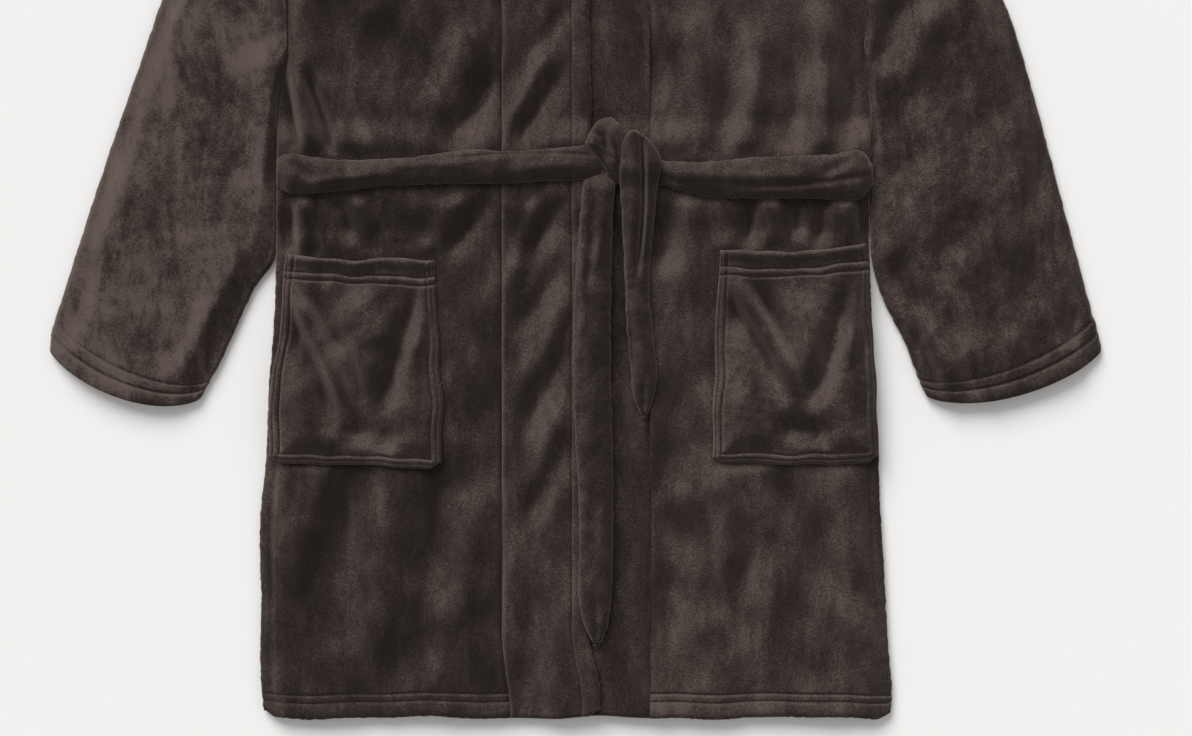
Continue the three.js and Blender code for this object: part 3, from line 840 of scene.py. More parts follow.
bands = {}
for side, name in ((1, "left_front_band"), (-1, "right_front_band")):
    across = stations(BAND_GRID, 2.4, (BAND_GRID - TOPSTITCH_IN,))
    piece, edge = grid(name, across, stations(BAND_LENGTH, 2.6), band_place(side))
    face_out(thicken(piece, edge, thickness=5.0, radius=3.6))
    paint_tilt_shading(piece)
    finish_piece(piece, BAND_PLUSH, "plush", "robe", name)
    piece.name = name.replace("_front", "") + "_strip"
    bands[side] = piece

# %% [markdown]
# ## The collar
# The bands run on round the back of the neck as a shawl collar, turned double. One curved strip
# is enough here, thicker than a band, because its underside is never seen.


# %% The collar
def collar_place(u, v):
    share = v / COLLAR_HEIGHT
    x = u * (COLLAR_HALF - 6 * share**2)
    low = NECK - 4 - NECK_DIP * np.clip(1 - np.abs(x) / NECK_HALF, 0, 1) ** NECK_CURVE
    top = COLLAR_TOP - 1 - 20 * np.clip((np.abs(x) - 70) / 60, 0, 1) ** 1.8
    y = low + (top - low) * share
    z = 4.2 + 0.5 * wander(x, y, 34, 21) + 0.6 * np.sin(share * math.pi)
    edge = nearest(v, COLLAR_HEIGHT - v, (1 - np.abs(u)) * COLLAR_HALF)
    return x, y, z, edge


collar, edge = grid(
    "shawl_collar", np.linspace(-1, 1, 130), stations(COLLAR_HEIGHT, 2.2), collar_place,
)
face_out(thicken(collar, edge, thickness=7.4, radius=5.0))
paint_tilt_shading(collar)
finish_piece(collar, BAND_PLUSH, "plush", "robe", "collar")

# %% [markdown]
# ## The sleeves
# A sleeve is a tapering tube sewn into the armhole. Laid flat it becomes two layers with rounded
# folds at its long edges, and a hem at the cuff is turned back and stitched twice.

# %% Sleeve shapes
RIGHT_OUTER = [
    (300, 943), (372, 868), (434, 747), (447, 705), (476, 622), (504, 539), (531, 455),
    (544, 414), (553, 390), (548, 377),
]
RIGHT_INNER = [
    (300, 669), (309, 642), (311, 590), (311, 545), (312, 500), (314, 474), (331, 455),
    (342, 435), (351, 414), (363, 388), (370, 372), (385, 346), (393, 331),
]
LEFT_OUTER = [
    (300, 943), (374, 872), (448, 747), (462, 705), (485, 622), (507, 539), (530, 455),
    (540, 414), (551, 388), (548, 377),
]
LEFT_INNER = [
    (300, 669), (307, 642), (307, 590), (307, 545), (307, 492), (309, 470), (320, 435),
    (331, 414), (345, 388), (350, 372), (360, 346), (367, 333),
]
CUFF_ROWS_IN = (28.0, 18.0)


def along_curve(points, share):
    """The point at each share of a curve's length, with its corners eased."""
    points = np.array(points, float)
    steps = np.hypot(*np.diff(points, axis=0).T)
    run = np.concatenate([[0], np.cumsum(steps)]) / steps.sum()
    near = [np.clip(share + s, 0, 1) for s in (-0.03, -0.015, 0, 0.015, 0.03)]
    xs = sum(np.interp(s, run, points[:, 0]) for s in near) / 5
    ys = sum(np.interp(s, run, points[:, 1]) for s in near) / 5
    return xs, ys


SLEEVE_RUN = 470.0
SLEEVE_MIDDLE = 430.0
FOLD_RADIUS = 4.4
SLEEVE_CLOTH = 3.4
SLEEVE_PUFF = 7.2
SLEEVE_GAIN = 2.1


def sleeve_bow(side, s):
    """The cuff's edge sags between its corners."""
    return (-27 if side < 0 else -25) * (4 * s * (1 - s)) ** 0.75


SLEEVE_FOLDS = {
    -1: [
        (-352, 742, -332, 690, 16, -2.2), (-400, 740, -372, 640, 22, 2.0),
        (-338, 640, -352, 560, 18, -1.8), (-392, 470, -440, 360, 26, -2.0),
        (-450, 600, -486, 470, 24, 1.6), (-365, 445, -415, 352, 13, 2.2),
        (-500, 480, -525, 400, 16, -1.4),
    ],
    1: [
        (340, 742, 318, 680, 14, -3.0), (372, 742, 348, 660, 18, 2.4),
        (330, 640, 352, 520, 18, -2.0), (342, 402, 379, 340, 9, -3.4),
        (360, 420, 400, 344, 12, 2.4), (520, 425, 516, 390, 8, -2.2),
        (420, 620, 452, 470, 26, 1.8), (330, 470, 372, 396, 12, -2.0),
    ],
}


def sleeve_place(side):
    outer, inner = (RIGHT_OUTER, RIGHT_INNER) if side < 0 else (LEFT_OUTER, LEFT_INNER)

    def place(u, v):
        # u runs over the top from 0 at the inner fold to 1 at the outer one, and back below to 2
        top = u <= 1
        s = np.where(top, u, 2 - u)
        t = v / SLEEVE_RUN
        ox, oy = along_curve(outer, t)
        ix, iy = along_curve(inner, t)
        width = np.hypot(ox - ix, oy - iy)
        d = np.minimum(s, 1 - s) * width
        rough = fuzz(iy, 35 + side) * smooth(14, 0, d) * smooth(60, 120, v)
        x = ix + (ox - ix) * s + rough
        y = iy + (oy - iy) * s + sleeve_bow(side, s) * smooth(0.55, 1.0, t)
        r = rounding(d / FOLD_RADIUS)
        puff = SLEEVE_PUFF * smooth(3, 34, d)
        from_cuff = (1 - t) * SLEEVE_MIDDLE
        sx = side * x
        ground = SLEEVE_GAIN * folds(sx, y, SLEEVE_FOLDS[side])
        ground = ground + 1.6 * wander(sx, 0.55 * y, 62, 31 + side)
        ground = ground + 0.2 * wander(sx, y, 24, 41 + side)
        high = FOLD_RADIUS * (1 + r) + puff + ground * smooth(4, 22, d)
        low = FOLD_RADIUS * (1 - r) + 0.2
        for row in CUFF_ROWS_IN:
            high = high + groove(from_cuff - row, 1.6 if row == CUFF_ROWS_IN[1] else 0.8, 1.3)
        high = high + 1.2 * np.exp(-(((from_cuff - 7) / 10) ** 2)) * smooth(2, 8, d)
        high = high - 4.5 * smooth(30, 0, v) * smooth(8, 60, d)
        z = np.where(top, high, low)
        return sx, y, z, from_cuff

    return place


print("cuff rows at", CUFF_ROWS_IN, "mm from the edge")


# %% [markdown]
# ## Closing the sleeves
# The loop of points is welded where it meets itself, which makes a tube open at both ends.
# Solidify then adds the cloth on the inside, so that the outline stays where it was drawn.


# %% Sleeves
def weld(piece, distance=0.05):
    """Joins the points that meet along a tube's closing line."""
    edit_all(piece)
    bpy.ops.mesh.remove_doubles(threshold=distance * MM)
    bpy.ops.mesh.normals_make_consistent(inside=False)
    bpy.ops.object.mode_set(mode="OBJECT")
    return piece


sleeves = {}
for side, name in ((-1, "right_sleeve"), (1, "left_sleeve")):
    half_loop = np.concatenate(
        [
            [0, 0.003, 0.008, 0.014, 0.022], np.linspace(0.03, 0.97, 74),
            [0.978, 0.986, 0.992, 0.997, 1],
        ]
    )
    loop = np.concatenate([half_loop, 2 - half_loop[::-1][1:]])
    rows = stations(
        SLEEVE_RUN, 2.9, [SLEEVE_RUN - r * SLEEVE_RUN / SLEEVE_MIDDLE for r in CUFF_ROWS_IN],
        (False, False),
    )
    piece, _ = grid(name + "_tube", loop, rows, sleeve_place(side))
    solidify(weld(piece), SLEEVE_CLOTH, -1)
    paint_tilt_shading(piece)
    finish_piece(
        piece, SLEEVE_PLUSH[side], "plush", None, name + "_upper", name + "_under",
        ("right" if side < 0 else "left") + "_cuff_hem",
    )
    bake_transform(piece)
    sleeves[side] = piece

# %% [markdown]
# ## The pockets
# A pocket is a patch of the same plush, sewn on at the sides and bottom, with its top turned down
# as a wide hem. Plush is heavy, so the mouth stands a little open and the middle hangs in curved
# folds.

# %% Pocket corners, rows and folds
POCKETS = {
    -1: {
        "top_in": (-145, 477), "top_out": (-303, 484), "low_in": (-139, 260),
        "low_out": (-321, 266),
    },
    1: {"top_in": (147, 487), "top_out": (304, 493), "low_in": (143, 264), "low_out": (314, 265)},
}
POCKET_ACROSS, POCKET_DOWN = 166.0, 222.0
POCKET_ROWS = (19.0, 27.5)
SEWN_ROWS = (4.0, 10.0)
POCKET_SIDE_ROWS = (*SEWN_ROWS, *(POCKET_ACROSS - row for row in reversed(SEWN_ROWS)))
POCKET_GAIN = 2.4
FOLLOW = 0.35
POCKET_FOLDS = {
    -1: [
        (-294, 448, -236, 330, 9, 3.2), (-300, 420, -246, 300, 12, -3.4),
        (-272, 444, -215, 320, 12, -3.2), (-150, 446, -168, 370, 9, 2.2),
        (-164, 440, -200, 320, 13, -3.0), (-238, 300, -186, 290, 15, -2.6),
        (-225, 430, -215, 350, 18, 2.2), (-290, 350, -272, 290, 12, 1.8),
    ],
    1: [
        (168, 452, 228, 352, 9, 3.0), (156, 438, 216, 340, 12, -3.2),
        (190, 446, 244, 340, 12, -3.0), (296, 444, 284, 372, 9, 2.2),
        (282, 440, 250, 330, 13, -3.2), (212, 302, 262, 294, 15, -2.6),
        (236, 430, 240, 350, 18, 2.2), (170, 340, 184, 285, 12, 1.6),
    ],
}

print("pocket folds", {side: len(rows) for side, rows in POCKET_FOLDS.items()})


# %% Pockets
def front_surface(x, y):
    """Top of a front's cloth, away from its seams."""
    return FRONT_LOW + WAIST_RISE * waist_share(y) + CLOTH + front_folds(x, y)


def pocket_place(side):
    corner = POCKETS[side]

    def between(axis, a, b):
        low = corner["low_in"][axis] * (1 - a) + corner["low_out"][axis] * a
        top = corner["top_in"][axis] * (1 - a) + corner["top_out"][axis] * a
        return low * (1 - b) + top * b

    def place(u, v):
        a, b = u / POCKET_ACROSS, v / POCKET_DOWN
        x, y = between(0, a, b), between(1, a, b)
        y = y - 5 * np.sin(a * math.pi) * b**6 + 1.2 * np.sin(x / 21) * (1 - b)
        x = x + side * (2.6 * np.sin(b * 5.2) * (a - 0.4)) + 1.3 * wander(x, y, 60, 57)
        y = y + 1.3 * wander(x, y, 55, 58)
        near_corner = smooth(12, 0, u) + smooth(12, 0, POCKET_ACROSS - u)
        y = y + 6 * near_corner * smooth(10, 0, v)
        sewn = nearest(u, POCKET_ACROSS - u, v)
        room = 4.6 * smooth(4, 30, sewn) + 1.4 * smooth(0, 7, sewn)
        mouth = 4.2 * np.exp(-(((POCKET_DOWN - v - 4) / 6) ** 2))
        ease = smooth(10, 30, POCKET_DOWN - v)
        ground = front_surface(x, y) * FOLLOW + (FRONT_LOW + CLOTH) * (1 - FOLLOW)
        z = ground + 0.6 + room + mouth * smooth(0, 14, sewn + 4)
        relief = POCKET_GAIN * folds(x, y, POCKET_FOLDS[side])
        z = z + 2.9 + relief * smooth(4, 24, sewn) * (0.35 + 0.65 * ease)
        z = z + (
            1.0 * wander(x, y, 60, 51 + side) + 0.15 * wander(x, y, 20, 61 + side)
        ) * smooth(2, 16, sewn)
        z = z + groove(sewn - SEWN_ROWS[0], 0.7, 0.9) + groove(sewn - SEWN_ROWS[1], 2.0, 1.3)
        for row in POCKET_ROWS:
            z = z + groove(POCKET_DOWN - v - row, 1.9, 1.3)
        z = z + 0.9 * np.exp(-(((POCKET_DOWN - v - 23) / 3.6) ** 2))
        edge = np.minimum(sewn, POCKET_DOWN - v)
        return x, y, z, edge

    return place


pockets = {}
for side, name in ((-1, "right_pocket"), (1, "left_pocket")):
    across = stations(POCKET_ACROSS, 2.2, POCKET_SIDE_ROWS)
    along = stations(POCKET_DOWN, 2.2, (*SEWN_ROWS, *(POCKET_DOWN - row for row in POCKET_ROWS)))
    piece, edge = grid(name + "_patch", across, along, pocket_place(side))
    face_out(thicken(piece, edge, thickness=3.6, radius=2.8))
    paint_tilt_shading(piece)
    finish_piece(piece, POCKET_PLUSH, "plush", "robe", name, name + "_hem")
    pockets[side] = piece

# %% [markdown]
# ## The belt
# The belt is a plump strip of doubled plush. Tied, it makes an overhand knot with two ends that
# hang down the front. Its runs press a trough into the fronts, and the light catches its upper
# edge.


# %% Belt strips
def strip(name, left, right, length, base, thickness, creases=(), seed=1, step=2.2):
    """A plump strip between two side lines, each giving x, y for a share of the length."""
    loop = np.linspace(0, 2, 65)
    rows = stations(length, step)

    def place(u, v):
        t = v / length
        top = u <= 1
        s = np.where(top, u, 2 - u)
        s = (1 - np.cos(s * math.pi)) / 2
        lx, ly = left(t)
        rx, ry = right(t)
        lx, rx = lx + fuzz(ly, seed + 5, 8, 0.4), rx + fuzz(ry, seed + 6, 8, 0.4)
        ly, ry = ly + fuzz(lx, seed + 7, 8, 0.4), ry + fuzz(rx, seed + 8, 8, 0.4)
        x, y = lx + (rx - lx) * s, ly + (ry - ly) * s
        end = np.minimum(v, length - v)
        cap = rounding(end / 5.0)
        rise = (1 - np.abs(2 * s - 1) ** 2.15) ** 0.55
        body = thickness / 2 * rise * cap
        relief = folds(x, y, creases) + 0.5 * wander(x, 0.7 * y, 30, seed)
        relief = relief + 0.1 * wander(x, y, 12, seed + 1)
        level = base(x, y, t) + thickness / 2
        z = np.where(top, level + body + relief * rise * cap, level - body * 0.9)
        return x, y, z, end

    piece, _ = grid(name, loop, rows, place)
    close_ends(weld(piece, 0.02))
    return paint_tilt_shading(soft_shade(piece))


def close_ends(piece):
    """Fills the open ends of a strip."""
    edit_all(piece, "DESELECT")
    bpy.ops.mesh.select_mode(type="EDGE")
    bpy.ops.mesh.select_non_manifold()
    bpy.ops.mesh.edge_face_add()
    bpy.ops.mesh.select_all(action="SELECT")
    bpy.ops.mesh.normals_make_consistent(inside=False)
    bpy.ops.object.mode_set(mode="OBJECT")
    return piece


def line(points):
    """A side line as a function of its share."""
    return lambda t: along_curve(points, t)


KNOT_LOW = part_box("belt_knot")[0].z / MM
print("knot sits", round(KNOT_LOW, 1), "mm up")

# %% The belt's runs
RIGHT_RUN_TOP = [
    (-313, 578), (-300, 589), (-284, 584), (-238, 579), (-171, 582), (-110, 591), (-58, 588),
    (11, 595), (30, 595),
]
RIGHT_RUN_LOW = [
    (-313, 556), (-300, 543), (-261, 546), (-193, 553), (-132, 555), (-81, 555), (9, 559),
    (30, 560),
]
LEFT_RUN_TOP = [
    (309, 574), (297, 591), (264, 585), (191, 583), (129, 577), (87, 579), (70, 580),
]
LEFT_RUN_LOW = [
    (309, 556), (297, 538), (233, 540), (171, 540), (129, 542), (89, 554), (70, 556),
]
RIGHT_RUN_CREASES = [
    (-290, 549, -141, 556, 4, -2.2), (-270, 556, -190, 566, 6, 1.6),
    (-120, 585, 8, 588, 2.2, -1.5), (-300, 580, -270, 560, 6, -1.8), (-60, 570, 10, 574, 6, 1.2),
    (-200, 574, -120, 576, 6, 1.2),
]
LEFT_RUN_CREASES = [
    (290, 584, 250, 560, 6, -1.8), (240, 560, 130, 562, 7, 1.6), (120, 552, 88, 560, 4, -1.8),
    (300, 560, 180, 549, 3.5, -1.6),
]


RUN_LOW = FRONT_LOW + WAIST_RISE + CLOTH + GAP
RUN_SIDE_DROP = 7.0
BELT_HALF = 312.0


def run_level(side):
    """Underside of a front run: up over the right band, and down at its side seam."""

    def base(x, y, t):
        over_band = OVER_LIFT * smooth(-66, -40, x) if side < 0 else 0
        at_side = 1 - smooth(-2, 20, BELT_HALF - np.abs(x))
        return RUN_LOW + over_band - RUN_SIDE_DROP * at_side

    return base


right_run = strip(
    "belt_right_front", line(RIGHT_RUN_LOW), line(RIGHT_RUN_TOP), 343, run_level(-1), 10.4,
    RIGHT_RUN_CREASES, 71,
)
finish_piece(right_run, BELT_PLUSH, "plush", "robe", "belt_right_run")
left_run = strip(
    "belt_left_front", line(LEFT_RUN_TOP), line(LEFT_RUN_LOW), 238, run_level(1), 10.4,
    LEFT_RUN_CREASES, 73,
)
finish_piece(left_run, BELT_PLUSH, "plush", "robe", "belt_left_run")

back_low, back_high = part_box("belt_back_run")
BACK_RUN_LOW = [
    (back_low.x / MM + 1, WAIST - 19), (0, WAIST - 19), (back_high.x / MM - 1, WAIST - 19),
]
BACK_RUN_TOP = [
    (back_low.x / MM + 1, WAIST + 19), (0, WAIST + 19), (back_high.x / MM - 1, WAIST + 19),
]
back_run = strip(
    "belt_back", line(BACK_RUN_LOW), line(BACK_RUN_TOP), 612, lambda x, y, t: 0.8 + 0 * x, 6.0, (),
    75, 4.0,
)
finish_piece(back_run, BELT_PLUSH, "plush", "robe", "belt_back_run")

# %% [markdown]
# ## The belt's two ends
# Each end is as wide as the knot lets it be where it leaves, then relaxes, and its tip is sewn
# shut with a small thick nub.

# %% Belt ends
LONG_LEFT = [
    (12, 582), (8, 560), (6, 542), (3, 505), (-2, 443), (-3, 381), (-1, 291), (1, 269), (4, 191),
    (2, 132), (6, 101), (15, 82), (20, 76),
]
LONG_RIGHT = [
    (42, 582), (42, 560), (39, 542), (37, 470), (36, 381), (37, 327), (39, 230), (38, 142),
    (36, 112), (33, 95), (29, 82), (24, 76),
]
SHORT_LEFT = [
    (58, 611), (50, 605), (46, 592), (45, 562), (48, 510), (50, 470), (52, 416), (55, 381),
    (59, 336), (64, 320), (69, 313),
]
SHORT_RIGHT = [
    (61, 611), (70, 605), (80, 597), (87, 588), (89, 574), (84, 551), (82, 524), (77, 470),
    (76, 443), (81, 389), (85, 357), (82, 336), (77, 322), (73, 313),
]
LONG_CREASES = [
    (20, 548, 12, 440, 5, -2.4), (32, 545, 24, 470, 5, 1.6), (10, 420, 24, 300, 7, 1.2),
    (26, 300, 16, 180, 7, -1.2), (20, 130, 22, 80, 4, -2.0), (8, 500, 6, 380, 4, 1.3),
]
SHORT_CREASES = [
    (71, 606, 69, 476, 3.0, -6.0), (60, 600, 58, 470, 5, 1.4), (78, 590, 74, 480, 4, 1.2),
    (62, 440, 70, 350, 6, 1.4), (70, 345, 71, 314, 3.5, -2.2), (56, 430, 60, 350, 3, -1.2),
]


def tail_level(start, low, rise):
    """Underside of a belt end: at the knot's height where it leaves, then down onto the front."""
    def base(x, y, t):
        resting = FRONT_LOW + WAIST_RISE * waist_share(y) + CLOTH + low
        return resting + (start - resting) * smooth(470, 545, y) + rise * smooth(548, 572, y)

    return base


long_tail = strip(
    "belt_long_end", line(LONG_RIGHT), line(LONG_LEFT), 506, tail_level(KNOT_LOW, 5.6, -4.5), 11.5,
    LONG_CREASES, 81,
)
finish_piece(long_tail, BELT_PLUSH, "plush", None, "belt_long_tail")
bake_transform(long_tail)
short_tail = strip(
    "belt_short_end", line(SHORT_RIGHT), line(SHORT_LEFT), 300, tail_level(KNOT_LOW, 1.2, 5.0),
    11.5, SHORT_CREASES, 83,
)
finish_piece(short_tail, BELT_PLUSH, "plush", None, "belt_short_tail")
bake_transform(short_tail)


# %% [markdown]
# ## The knot
# The knot is two plump turns of the belt: one lobe where the left run comes over, and a narrow
# turn that the ends come out from under.


# %% A plump lobe
def lobe(outline, centre, low, height, creases=(), seed=1):
    """A plump closed shape over an outline, made from a sphere."""
    deselect()
    bpy.ops.mesh.primitive_uv_sphere_add(segments=96, ring_count=44, radius=1)
    piece = bpy.context.object
    count = len(piece.data.vertices)
    co = np.empty(count * 3)
    piece.data.vertices.foreach_get("co", co)
    co = co.reshape(-1, 3)
    points = np.array(outline + outline[:1], float)
    steps = np.hypot(*np.diff(points, axis=0).T)
    run = np.concatenate([[0], np.cumsum(steps)])
    fine = np.linspace(0, run[-1], 400)
    ring = np.stack([np.interp(fine, run, points[:, 0]), np.interp(fine, run, points[:, 1])], 1)
    for _ in range(14):
        ring = (ring + np.roll(ring, 1, 0) + np.roll(ring, -1, 0)) / 3
    angle = np.arctan2(ring[:, 1] - centre[1], ring[:, 0] - centre[0])
    reach = np.hypot(ring[:, 1] - centre[1], ring[:, 0] - centre[0])
    order = np.argsort(angle)
    flat = np.hypot(co[:, 0], co[:, 1])
    theta = np.arctan2(co[:, 1], co[:, 0])
    radius = np.interp(theta, angle[order], reach[order], period=math.tau)
    x = centre[0] + np.cos(theta) * radius * flat
    y = centre[1] + np.sin(theta) * radius * flat
    puff = np.sign(co[:, 2]) * np.abs(co[:, 2]) ** 0.8
    z = low + height / 2 + puff * height / 2
    z = z + (folds(x, y, creases) + 0.5 * wander(x, y, 16, seed)) * np.clip(co[:, 2], 0, 1)
    piece.data.vertices.foreach_set("co", (np.stack([x, y + HEM, z], 1) * MM).ravel())
    piece.data.update()
    return soft_shade(piece)


print("lobes rest from", round(KNOT_LOW - 2.5, 1), "mm up")

# %% The knot
LEFT_LOBE = [
    (9, 596), (14, 608), (23, 620), (36, 624), (46, 616), (49, 598), (47, 578), (45, 562),
    (33, 566), (18, 586),
]
UNDER_TURN = [
    (12, 572), (24, 583), (46, 585), (66, 578), (82, 572), (80, 556), (66, 552), (46, 554),
    (20, 556),
]
lobes = [
    lobe(UNDER_TURN, (48, 567), KNOT_LOW - 2.5, 11.0, [(30, 575, 70, 556, 6, -1.5)], 91),
    lobe(
        LEFT_LOBE, (32, 594), KNOT_LOW, 15.5,
        [(22, 612, 36, 572, 6, -4.0), (34, 618, 45, 578, 5, 2.4), (30, 600, 47, 566, 3, -1.6)], 92,
    ),
]
deselect()
for piece in lobes:
    piece.select_set(True)
bpy.context.view_layer.objects.active = lobes[0]
bpy.ops.object.join()
knot = bpy.context.object
knot.name = knot.data.name = "belt_tied_knot"
paint_tilt_shading(knot)
finish_piece(knot, BELT_PLUSH, "plush", "robe", "belt_knot")

# %% [markdown]
# ## Small parts
# The tip of each belt end is gathered into a small thick nub, and a plain woven label lies inside
# the neck. A nub is a small lobe with one crease. The label is a thin box with rounded edges.


# %% Nubs at the belt's tips
NUB_RADIUS = 3.4
for name, body, x, y, low in (
    ("long_end_nub", "long_tail", 21.5, 77, 18.5), ("short_end_nub", "short_tail", 71, 315, 18.0),
):
    ring = [
        (
            x + NUB_RADIUS * math.cos(a), y + NUB_RADIUS * math.sin(a),
        ) for a in np.linspace(0, math.tau, 12, endpoint=False)
    ]
    nub = lobe(ring, (x, y), low, 7.0, [(x - 4, y, x + 4, y, 0.9, -1.2)], 97)
    nub.name = nub.data.name = name
    paint_tilt_shading(nub)
    finish_piece(nub, BELT_PLUSH, "plush", body)


# %% Label
def softened(name, node_name, bevel):
    """A small strip in the place of a frame node, with its edges rounded."""
    low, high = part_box(node_name)
    deselect()
    bpy.ops.mesh.primitive_cube_add(size=1, location=(low + high) / 2, scale=high - low)
    bpy.ops.object.transform_apply(location=True, rotation=True, scale=True)
    piece = bpy.context.object
    piece.name = piece.data.name = name
    round_off = piece.modifiers.new("edge", "BEVEL")
    round_off.width = bevel
    round_off.segments = 3
    bpy.ops.object.modifier_apply(modifier=round_off.name)
    bpy.ops.object.shade_smooth()
    return piece


label = softened("blank_label", "neck_label", 0.0003)
finish_piece(label, LABEL, "label", "robe", "neck_label")


# %% [markdown]
# ## Hanging loop and belt loops
# Each loop is one tape that follows a path: across and down for the hanging loop, round the belt
# for the side loops. Its corners are eased by averaging the path with its neighbours.


# %% Hanging loop and belt loops
def band_along(name, path, width, thickness, turned):
    """A tape of even width along a path. turned is the axis that its width lies on."""
    loop = np.linspace(0, len(path) - 1, (len(path) - 1) * 14 + 1)
    rows = np.array([0.0, 0.5, 1.5, width / 2, width - 1.5, width - 0.5, width])
    points = np.array(path, float)
    number = np.arange(len(points))

    def place(u, v):
        near = [np.clip(u + s, 0, len(points) - 1) for s in (-0.3, -0.15, 0, 0.15, 0.3)]
        where = [sum(np.interp(s, number, points[:, k]) for s in near) / 5 for k in range(3)]
        where[turned] = where[turned] + v - width / 2
        return where[0], where[1], where[2], np.minimum(v, width - v)

    piece, edge = grid(name, loop, rows, place)
    return face_out(thicken(piece, edge, thickness, 1.2, 0.3))


hang_low, hang_high = (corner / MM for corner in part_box("hanging_loop"))
mid = (hang_low.z + hang_high.z) / 2
hang_top, hang_foot = hang_high.y - HEM - 3, hang_low.y - HEM + 3
loop_path = [
    (hang_low.x + 3, hang_top, mid), (hang_low.x + 4, hang_top - 9, mid + 0.5), (
        hang_low.x + 9, hang_foot + 1, mid + 0.8,
    ),
    (-16, hang_foot, mid + 1), (0, hang_foot - 0.5, mid + 1), (16, hang_foot, mid + 1),
    (
        hang_high.x - 9, hang_foot + 1, mid + 0.8,
    ), (hang_high.x - 4, hang_top - 9, mid + 0.5), (hang_high.x - 3, hang_top, mid),
]
hanger = band_along("tape_hanging_loop", loop_path, 6.0, 1.8, 2)
finish_piece(hanger, TAPE, "tape", "hanger", "hanging_loop")


def belt_loop(name, node_name, side):
    """A tape that stands at a side seam and goes round the belt."""
    low, high = (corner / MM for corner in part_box(node_name))
    mid_y = (low.y + high.y) / 2 - HEM
    inner, outer = (low.x, high.x) if side > 0 else (high.x, low.x)
    near, far, out = inner + side * 2, outer - side * 3, outer - side
    path = [
        (near, mid_y, high.z - 1), (far, mid_y, high.z - 1), (out, mid_y, high.z - 2.5),
        (out, mid_y, low.z + 2.5), (far, mid_y, low.z + 1), (near, mid_y, low.z + 1),
    ]
    piece = band_along(name, path, min(12.0, high.y - low.y), 1.4, 1)
    return finish_piece(piece, BODY_PLUSH, "plush", "robe", node_name)


belt_loop("right_side_loop", "right_belt_loop", -1)
belt_loop("left_side_loop", "left_belt_loop", 1)

# %% [markdown]
# ## Stitches
# The rows on the hems, pockets, cuffs and bands are lockstitch in matching thread. Each stitch is
# a small dash that sinks into the pile, laid by stepping one stitch along the seam.


# %% Stitch helpers
def surface_finder(piece):
    """Heights of a piece's top, found by casting down onto it."""
    tree = BVHTree.FromPolygons(
        [v.co[:] for v in piece.data.vertices], [p.vertices[:] for p in piece.data.polygons],
    )

    def height(x, y):
        hit = tree.ray_cast(Vector((x, y, 0.2)), Vector((0, 0, -1)))
        return hit[0].z if hit[0] else None

    return height


STITCH, PITCH = 2.6, 3.9
THREAD_WIDE, THREAD_TALL, THREAD_LIFT = 0.55, 0.6, 0.04
STEEPEST_STITCH = 1.5


def stitch_rows(name, piece, rows, body):
    """Dashes along each row of points, in millimetres, sunk into the piece's top."""
    height = surface_finder(piece)
    deselect()
    bpy.ops.mesh.primitive_cube_add(size=1)
    dash = bpy.context.object
    shape = dash.modifiers.new("round", "BEVEL")
    shape.width, shape.segments = 0.3, 1
    bpy.ops.object.modifier_apply(modifier=shape.name)
    count = len(dash.data.vertices)
    one = np.array([v.co[:] for v in dash.data.vertices])
    spots = []
    for row in rows:
        row = np.array(row, float)
        steps = np.hypot(*np.diff(row, axis=0).T)
        run = np.concatenate([[0], np.cumsum(steps)])
        for s in np.arange(PITCH, run[-1] - PITCH, PITCH):
            both = (s, s + STITCH)
            xs, ys = (np.interp(both, run, row[:, axis]) for axis in (0, 1))
            ends = list(zip(xs * MM, (ys + HEM) * MM))
            heights = [height(*e) for e in ends]
            if None not in heights and abs(heights[0] - heights[1]) < STEEPEST_STITCH * MM:
                spots.append([(e[0], e[1], h) for e, h in zip(ends, heights)])
    line_up = dash.modifiers.new("row", "ARRAY")
    line_up.count = len(spots)
    bpy.ops.object.modifier_apply(modifier=line_up.name)
    places = np.empty((len(spots) * count, 3))
    for n, (start, end) in enumerate(spots):
        start, end = np.array(start), np.array(end)
        forward = (end - start) / np.linalg.norm(end - start)
        aside = np.cross((0, 0, 1), forward)
        up = np.cross(forward, aside)
        middle = (start + end) / 2 + up * THREAD_LIFT * MM
        turned = np.outer(one[:, 0], forward) * STITCH
        turned += np.outer(one[:, 1], aside) * THREAD_WIDE + np.outer(one[:, 2], up) * THREAD_TALL
        places[n * count : (n + 1) * count] = middle + turned * MM
    dash.name = dash.data.name = name
    dash.data.vertices.foreach_set("co", places.ravel())
    dash.data.update()
    return finish_piece(soft_shade(dash), THREAD, "plush", body)


def row_points(place, us, vs):
    """Points of a piece's own rows, from its place function."""
    us, vs = np.broadcast_arrays(np.asarray(us, float), np.asarray(vs, float))
    x, y = place(us, vs)[:2]
    return list(zip(x, y))


print("one stitch every", PITCH, "mm")

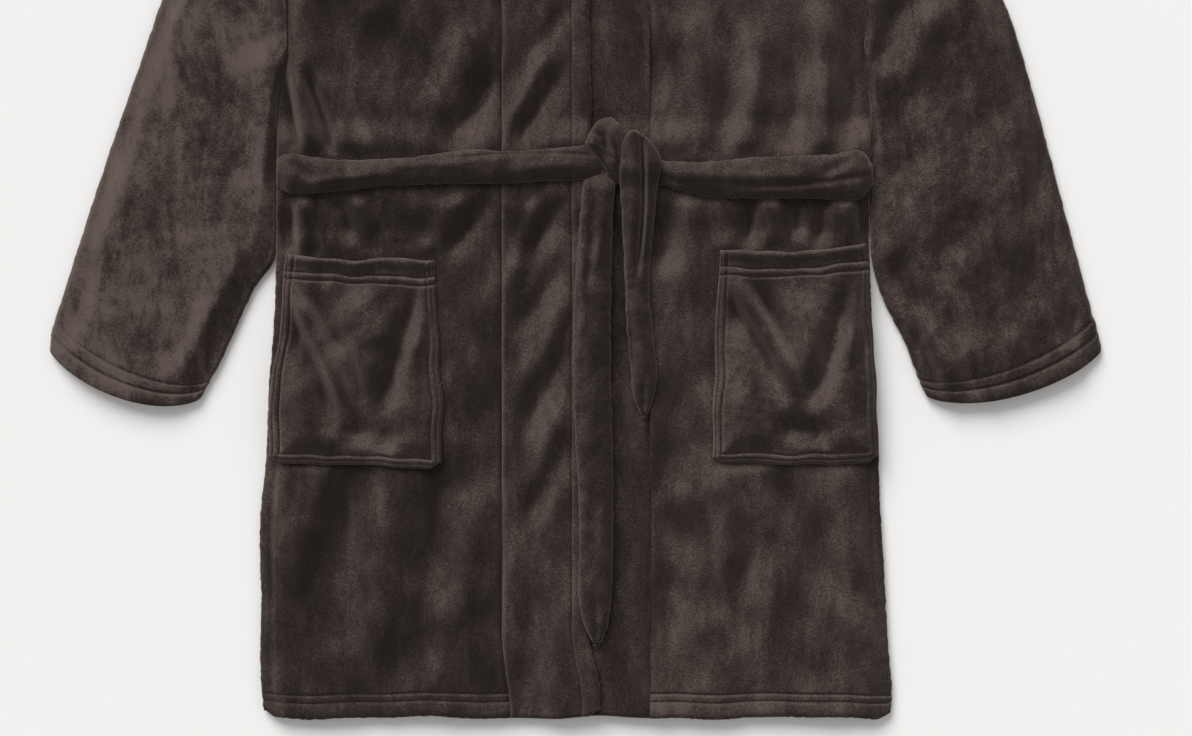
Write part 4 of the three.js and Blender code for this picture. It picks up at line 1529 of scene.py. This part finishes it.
# %% Stitches on the hems, bands, pockets and cuffs
for side, name in ((-1, "right"), (1, "left")):
    place = front_place(side)
    run = np.linspace(4, FRONT_WIDTH - 4, 90)
    stitch_rows(
        name + "_hem_stitches", fronts[side], [row_points(place, run, r) for r in HEM_ROWS],
        "robe",
    )
    if side < 0:
        place = band_place(side)
        run = np.linspace(6, 860, 300)
        stitch_rows(
            name + "_band_stitches", bands[side],
            [row_points(place, BAND_GRID - TOPSTITCH_IN, run)], "robe",
        )
    place = pocket_place(side)
    flat_run = np.linspace(5, POCKET_ACROSS - 5, 70)
    up_run = np.linspace(6, POCKET_DOWN - 3, 90)
    rows = [row_points(place, flat_run, POCKET_DOWN - r) for r in POCKET_ROWS]
    rows += [row_points(place, u, up_run) for u in POCKET_SIDE_ROWS]
    rows += [row_points(place, flat_run, v) for v in SEWN_ROWS]
    stitch_rows(name + "_pocket_stitches", pockets[side], rows, "robe")
    place = sleeve_place(side)
    run = np.linspace(0.03, 0.97, 70)
    rows = [row_points(place, run, SLEEVE_RUN * (1 - r / SLEEVE_MIDDLE)) for r in CUFF_ROWS_IN]
    stitch_rows(name + "_cuff_stitches", sleeves[side], rows, name + "_sleeve")

# %% [markdown]
# ## Floor and light
# A pale seamless floor, one wide soft light from the collar's side so that each fold has a lit
# upper edge and a shaded lower one, and an even sky to fill. The Standard view keeps the floor as
# pale as it is set.

# %% Floor and lights
bpy.ops.mesh.primitive_plane_add(size=60, location=(0, 0, -0.0002))
floor = bpy.context.object
floor.name = "floor"
paper, _, paper_shader = new_material("pale floor")
paper_shader.inputs["Base Color"].default_value = (0.86, 0.855, 0.85, 1)
paper_shader.inputs["Roughness"].default_value = 0.9
paper_shader.inputs["Specular IOR Level"].default_value = 0.1
floor.data.materials.append(paper)
floor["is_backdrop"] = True


SUN_LEVEL, WORLD_LEVEL = 2.75, 0.50
sun_data = bpy.data.lights.new("key", "SUN")
sun_data.energy = SUN_LEVEL
sun_data.angle = math.radians(40)
sun_data.color = (1.0, 0.992, 0.98)
sun = bpy.data.objects.new("key", sun_data)
bpy.context.scene.collection.objects.link(sun)
sun.rotation_euler = Vector((0.45, -1.0, -0.86)).to_track_quat("-Z", "Y").to_euler()
sun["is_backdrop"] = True
bpy.context.scene.view_settings.view_transform = "Standard"
world = bpy.data.worlds.new("studio")
bpy.context.scene.world = world
world.use_nodes = True
world.node_tree.nodes["Background"].inputs["Color"].default_value = (1.0, 0.995, 0.99, 1)
world.node_tree.nodes["Background"].inputs["Strength"].default_value = WORLD_LEVEL

print("floor, one sun and a soft sky; camera at", [round(v, 3) for v in camera.location])

# %% [markdown]
# ## Size, as built
# The cloth may swell a little past the frame. Both boxes are printed so that they can be
# compared.

# %% Sizes
made_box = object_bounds()
for label_text, corners in (("frame", cad_box), ("made", made_box)):
    print(label_text, [[round(value, 4) for value in corner] for corner in corners])
